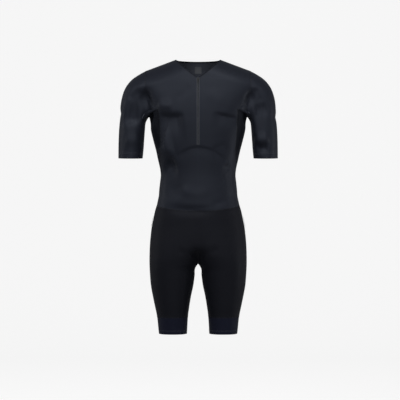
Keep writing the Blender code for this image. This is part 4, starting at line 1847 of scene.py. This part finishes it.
@dataclass
class SeamThread:
    """The thread of every seam and hem of the suit."""

    suit: Suit
    pitch: float = 2.6
    half: float = 2.2
    radius: float = 0.32
    hem_pitch: float = 3.0
    hem_radius: float = 0.3
    sleeve_rises: tuple = (15.0, 20.0)
    gripper_rises: tuple = (12.0, 14.4)
    zip_row: float = 2.4
    neck_row: float = 1.6
    made: list[bpy.types.Object] = field(default_factory=list, init=False)

    def line(self, name: str, mirror: bool = False, margin: float = 0.0) -> Lay:
        """Space a seam out for its stitches.

        Args:
            name: Name of the seam.
            mirror: Whether it is the seam on the wearer's other side.
            margin: Length left bare at each end.

        Returns:
            The line of the seam on the creased cloth.
        """
        path = self.suit.seams[name]
        points, out = self.suit.net.find(path * OTHER_SIDE if mirror else path)
        return Lay.along(points, out, self.pitch, margin)

    def level(self, name: str, rise: float, mirror: bool) -> Lay:
        """Line round a sleeve or leg, at a height above its hem.

        Args:
            name: Name of the piece that is hemmed.
            rise: Height above the hem, along the cloth.
            mirror: Whether it is the piece on the wearer's other side.

        Returns:
            The line on the creased cloth.
        """
        grid = self.suit.hems[name]
        if mirror:
            grid = grid * OTHER_SIDE
        ring = np.concatenate([grid, grid[:, :1]], axis=1)
        points, out = self.suit.net.find(ring.reshape(-1, 3))
        points = points.reshape(ring.shape)
        out = out.reshape(ring.shape)
        steps = np.linalg.norm(np.diff(points, axis=0), axis=2).mean(axis=1)
        at = np.interp(rise, np.concatenate([[0.0], np.cumsum(steps)]), np.arange(len(ring)))
        row = int(at)
        share = at - row
        between = points[row] * (1 - share) + points[row + 1] * share
        normals = out[row] * (1 - share) + out[row + 1] * share
        return Lay.along(between, normals, self.hem_pitch)

    def build(self) -> list[bpy.types.Object]:
        """Sew the seams of the top, the seams of the shorts, and the hems.

        Returns:
            The pieces of thread.
        """
        top = Stitching(self.radius)
        shorts = Stitching(self.radius)
        hems = Stitching(self.hem_radius)
        for mirror in (False, True):
            for name in ("front_side", "back_side", "armhole", "shoulder"):
                top.flatlock(self.line(name, mirror, 2.0), self.half)
            for name in ("front_waist", "back_waist", "inseam", "outseam", "gripper"):
                shorts.flatlock(self.line(name, mirror, 1.0), self.half)
            for rise in self.sleeve_rises:
                hems.dashes(self.level("sleeve", rise, mirror), 0.0)
            for rise in self.gripper_rises:
                hems.dashes(self.level("gripper", rise, mirror), 0.0)
            edge = self.line("zip_edge", mirror, 2.0)
            top.dashes(edge, -self.zip_row if mirror else self.zip_row)
        top.dashes(self.line("neck", margin=3.0), -self.neck_row)
        self.made = [
            top.build("top_seam_thread", Slot.SATIN),
            shorts.build("shorts_seam_thread", Slot.SHORTS),
            hems.build("hem_thread", Slot.SATIN),
        ]
        return self.made

    def dress(self, _: Finishes) -> None:
        """Put its own finish on each thread."""
        for piece, thread in zip(self.made, (SEAM_THREAD, SHORTS_THREAD, HEM_THREAD)):
            piece.data.materials.append(thread.material())


@dataclass
class NeckTab:
    """Blank tab sewn inside the back of the neck, and the thread at its two ends."""

    suit: Suit
    width: float = 25.0
    length: float = 24.0
    top_drop: float = 13.0
    wall: float = 0.5
    clear: float = 0.35
    corner: float = 3.0
    cells: int = 16
    rim: float = 0.3
    rim_narrowness: float = 12.0
    thread_radius: float = 0.22
    thread_pitch: float = 2.2
    thread_inset: float = 2.2
    thread_span: tuple = (0.1, 0.9)
    probe: float = 0.5
    made: list[bpy.types.Object] = field(default_factory=list, init=False)

    @property
    def top(self) -> float:
        """Height of the tab's upper edge."""
        return ARMHOLE["back_z"][self.suit.cut.first_neck] - self.top_drop

    def spot(self, x: float, z: float) -> tuple[Array, Array]:
        """Find a place on the inner face of the back.

        Args:
            x: Distance across from the middle.
            z: Height.

        Returns:
            The point, just clear of the cloth, and its inward normal.
        """
        places = ((x, z), (x, z + self.probe), (x + self.probe, z))
        torso = self.suit.cut.form.torso
        here, up, side = (torso(np.array(a), np.array(b), Side.BACK) for a, b in places)
        normal = np.cross(up - here, side - here)
        normal /= np.linalg.norm(normal)
        normal = normal if normal[1] < 0 else -normal
        return here + normal * (self.suit.panel_wall + self.clear), normal

    def faces(self) -> list[tuple[Array, Array]]:
        """Work out the two faces of the tab, row by row.

        Returns:
            A point of the outer face and one of the inner face, for each place.
        """
        steps = np.linspace(-0.5, 0.5, self.cells + 1)
        pairs = []
        for down in steps:
            edge = max(0.0, abs(down) - 0.5 + self.corner / self.length) * self.length
            inset = self.corner - math.sqrt(max(0.0, self.corner**2 - edge**2))
            for across in steps:
                x = across * (self.width - 2 * inset)
                point, normal = self.spot(x, self.top - (down + 0.5) * self.length)
                inside = 0.5 - max(abs(down), abs(across))
                rim = self.rim * math.exp(-((inside * self.rim_narrowness) ** 2))
                pairs.append((point + normal * (self.wall + rim), point))
        return pairs

    def weave(self) -> bpy.types.Mesh:
        """Make the tab as one closed mesh.

        Returns:
            The mesh.
        """
        outer, inner = zip(*self.faces())
        count = self.cells + 1
        number = np.arange(count * count).reshape(count, count)
        corners = [number[:-1, :-1], number[1:, :-1], number[1:, 1:], number[:-1, 1:]]
        cells = np.stack(corners, axis=-1).reshape(-1, 4)
        sides = [number[0], number[1:, -1], number[-1, -2::-1], number[-2:0:-1, 0]]
        around = np.concatenate(sides)
        after = np.roll(around, -1)
        base = count * count
        rim_cells = np.stack([after, around, around + base, after + base], axis=1)
        faces = np.concatenate([cells[:, ::-1], cells + base, rim_cells[:, ::-1]])
        mesh = bpy.data.meshes.new("neck_tab")
        mesh.from_pydata((np.array(outer + inner) * MM).tolist(), [], faces.tolist())
        mesh.shade_smooth()
        mesh.set_sharp_from_angle(angle=PART_EDGE)
        return mesh

    def build(self) -> list[bpy.types.Object]:
        """Make the tab and its thread.

        Returns:
            The tab and the thread.
        """
        tab = place("neck_tab", self.weave(), SUIT_BODY)
        thread = Stitching(self.thread_radius)
        for side in (-1, 1):
            x = side * (self.width / 2 - self.thread_inset)
            downs = np.linspace(*self.thread_span, self.cells // 2 + 1)
            rows = [self.spot(x, self.top - down * self.length) for down in downs]
            points = np.array([point + normal * self.wall for point, normal in rows])
            normals = np.array([normal for _, normal in rows])
            thread.dashes(Lay.along(points, normals, self.thread_pitch), 0.0)
        self.made = [tab, thread.build("neck_tab_thread", Slot.TAPE)]
        return self.made

    def dress(self, _: Finishes) -> None:
        """Put the weave on the tab, and the hem thread's finish on its thread."""
        for piece, finish in zip(self.made, (TAB_WEAVE, HEM_THREAD)):
            piece.data.materials.append(finish.material())


@dataclass
class Zip:
    """The coil of the zip, its stop at the bottom, and the teeth that stand in two rows."""

    suit: Suit
    pitch: float = 1.5
    tooth: tuple = (1.75, 0.95, 1.1)
    tooth_side: float = 0.75
    tooth_rise: float = 0.75
    tooth_lean: float = 0.3
    stop: tuple = (3.4, 4.2, 1.6)
    stop_below: float = 1.2
    stop_rise: float = 0.9
    margin: float = 4.0
    slider_clear: float = 0.6
    belt: tuple = ((-0.5, 0.8), (-0.2, 1.0), (0.2, 1.0), (0.5, 0.62))
    corners: int = 8
    corner_round: float = 0.7
    points: list[Array] = field(default_factory=list, init=False)
    faces: list[list[int]] = field(default_factory=list, init=False)
    made: list[bpy.types.Object] = field(default_factory=list, init=False)

    def line(self) -> Lay:
        """Space the teeth out along the tape, up to the slider.

        Returns:
            Middle of the zip, from the bottom up, with one tooth at each point.
        """
        points, out = self.suit.net.find(self.suit.seams["zip"])
        line = Lay.along(points, out, self.pitch / 2, self.margin)
        slider_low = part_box("zip_slider")[0][2] / MM
        keep = line.points[:, 2] < slider_low - self.slider_clear
        return Lay(line.points[keep], line.out[keep], line.across[keep])

    def block(self, middle: Array, axes: Sequence[Array], size: tuple, lean: float = 0.0) -> None:
        """Add one rounded block: a belt of points between two smaller caps.

        Args:
            middle: Middle of the block.
            axes: Directions of its width, length and height.
            size: Width, length and height.
            lean: How far its length turns towards its width.
        """
        across, ahead, out = axes
        first = len(self.points)
        count = self.corners
        way = across + ahead * lean
        for level, share in self.belt:
            for corner in range(count):
                turn = (corner + 0.5) * 2 * math.pi / count
                run = math.cos(turn), math.sin(turn)
                x, y = (
                    length / 2 * share * math.copysign(abs(part) ** self.corner_round, part)
                    for length, part in zip(size, run)
                )
                self.points.append(middle + way * x + ahead * y + out * level * size[2])
        for level in range(len(self.belt) - 1):
            for corner in range(count):
                a = first + level * count + corner
                b = first + level * count + (corner + 1) % count
                self.faces.append([a, b, b + count, a + count])
        last = first + (len(self.belt) - 1) * count
        self.faces.append([first + corner for corner in range(count - 1, -1, -1)])
        self.faces.append([last + corner for corner in range(count)])

    def build(self) -> list[bpy.types.Object]:
        """Make the coil and its bottom stop.

        Returns:
            The coil.
        """
        line = self.line()
        for number, (spot, out, across) in enumerate(zip(line.points, line.out, line.across)):
            side = 1.0 if number % 2 else -1.0
            middle = spot + across * side * self.tooth_side + out * self.tooth_rise
            axes = across, np.cross(across, out), out
            self.block(middle, axes, self.tooth, self.tooth_lean * side)
        end, out, across = line.points[0], line.out[0], line.across[0]
        ahead = np.cross(across, out)
        middle = end - ahead * self.stop_below + out * self.stop_rise
        self.block(middle, (across, ahead, out), self.stop)
        mesh = bpy.data.meshes.new("zip_coil_teeth")
        mesh.from_pydata((np.array(self.points) * MM).tolist(), [], self.faces)
        mesh.shade_smooth()
        mesh.set_sharp_from_angle(angle=PART_EDGE)
        piece = place("zip_coil_teeth", mesh, SUIT_BODY)
        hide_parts("zip_coil")
        self.made = [piece]
        return self.made

    def dress(self, finishes: Finishes) -> None:
        """Put nylon on the coil, and metal on the slider and its pull tab.

        Args:
            finishes: Finishes of the suit.
        """
        for piece in self.made:
            piece.data.materials.append(finishes.by_slot[Slot.COIL])
        for name in ("zip_slider", "zip_pull_tab"):
            for held in bpy.data.objects[name].material_slots:
                held.material = finishes.by_slot[Slot.METAL]


# ---------------------------------------------------------------- studio


@dataclass(frozen=True)
class Lamp:
    """One soft light: where it hangs and what it points at, its face, and its watts."""

    name: str
    spot: tuple
    aim: tuple
    size: tuple
    power: float

    def hang(self) -> None:
        """Hang the light."""
        data = bpy.data.lights.new(self.name, "AREA")
        data.shape = "RECTANGLE"
        data.size, data.size_y = self.size
        data.energy = self.power
        lamp = bpy.data.objects.new(self.name, data)
        lamp.location = self.spot
        aim = Vector(self.aim) - Vector(self.spot)
        lamp.rotation_euler = aim.to_track_quat("-Z", "Y").to_euler()
        bpy.context.scene.collection.objects.link(lamp)


LAMPS = (
    Lamp("front", (0.3, -4.6, -0.45), (0.0, 0.0, -0.55), (2.0, 2.4), 35.0),
    Lamp("top", (0.4, -2.0, 2.7), (0.0, 0.0, -0.15), (1.6, 1.0), 48.0),
    Lamp("key", (-1.9, -2.7, 1.5), (0.0, 0.0, -0.3), (1.2, 1.0), 34.0),
    Lamp("fill", (1.8, -2.7, 1.5), (0.0, 0.0, -0.2), (1.2, 1.0), 16.0),
    Lamp("left", (-2.9, 0.3, 0.2), (0.0, 0.0, -0.4), (0.8, 2.2), 12.0),
    Lamp("right", (2.8, -0.1, -0.95), (0.0, 0.0, -0.75), (0.8, 1.8), 18.0),
)


@dataclass
class Studio:
    """Plain pale surroundings, soft lights and the camera, with sizes in metres."""

    pale: float = 0.25
    mottling: float = 1.01
    mottle_scale: float = 3.0
    paper_roughness: float = 0.9
    glow: float = 0.835
    bounce: float = 0.08
    air: float = 0.12
    lens: float = 150.0
    view_width: float = 1.44
    far: float = 60.0
    aim: tuple = (0.0068, 0.0, -0.503)
    floor_z: float = -1.36
    half_width: float = 9.0
    floor_back: float = 3.0
    bend: float = 1.6
    bend_steps: int = 14

    def backdrop(self) -> None:
        """Make the pale sweep that the suit stands before."""
        turns = np.linspace(0.1, math.pi / 2, self.bend_steps)
        profile = [(-self.half_width, 0.0), (self.floor_back, 0.0)]
        for turn in turns:
            rise = self.bend - self.bend * math.cos(turn)
            profile.append((self.floor_back + self.bend * math.sin(turn), rise))
        profile.append((self.floor_back + self.bend, self.half_width))
        sides = (-self.half_width, self.half_width)
        points = [(x, y, z + self.floor_z) for y, z in profile for x in sides]
        faces = [(2 * i, 2 * i + 1, 2 * i + 3, 2 * i + 2) for i in range(len(profile) - 1)]
        mesh = bpy.data.meshes.new("pale_sweep")
        mesh.from_pydata(points, [], faces)
        mesh.shade_smooth()
        mesh.materials.append(self.paper())
        sweep = bpy.data.objects.new("pale_sweep", mesh)
        bpy.context.scene.collection.objects.link(sweep)

    def paper(self) -> bpy.types.Material:
        """Make the sweep's pale paper, which glows for the camera.

        Returns:
            The material.
        """
        nodes = Nodes("pale_sweep")
        plain = (self.pale,) * 3
        mottled = (self.mottling * self.pale,) * 3
        nodes.feed("Base Color", nodes.blend(nodes.noise(self.mottle_scale), plain, mottled))
        nodes.set("Roughness", self.paper_roughness)
        nodes.set("Specular IOR Level", 0.0)
        nodes.set("Emission Color", (1.0, 1.0, 1.0, 1.0))
        seen = nodes.add("LightPath").outputs["Is Camera Ray"]
        glow = nodes.math("MULTIPLY", seen, self.glow - self.bounce)
        nodes.feed("Emission Strength", nodes.math("ADD", glow, self.bounce))
        return nodes.material

    def camera(self) -> None:
        """Stand the camera level in front of the suit."""
        data = bpy.data.cameras.new("front_camera")
        data.lens = self.lens
        data.clip_end = self.far
        distance = self.view_width * self.lens / data.sensor_width
        camera = bpy.data.objects.new("front_camera", data)
        camera.location = (self.aim[0], self.aim[1] - distance, self.aim[2])
        camera.rotation_euler = (math.pi / 2, 0.0, 0.0)
        bpy.context.scene.collection.objects.link(camera)
        bpy.context.scene.camera = camera

    def build(self) -> None:
        """Set up the surroundings, lights and camera."""
        self.backdrop()
        world = bpy.data.worlds.new("pale_world")
        world.use_nodes = True
        sky = world.node_tree.nodes["Background"].inputs
        sky["Color"].default_value = (1.0, 1.0, 1.0, 1.0)
        sky["Strength"].default_value = self.air
        bpy.context.scene.world = world
        bpy.context.scene.view_settings.view_transform = "Standard"
        for lamp in LAMPS:
            lamp.hang()
        self.camera()


def main() -> None:
    """Make and dress the suit, its thread, zip and neck tab, and set up the studio."""
    logging.basicConfig(level=logging.INFO, format="%(message)s")
    finishes = Finishes()
    suit = Suit()
    for part in (suit, SeamThread(suit), Zip(suit), NeckTab(suit)):
        for piece in part.build():
            LOG.info("%s: %d points", piece.name, len(piece.data.vertices))
        part.dress(finishes)
    Studio().build()


if __name__ == "__main__":
    main()
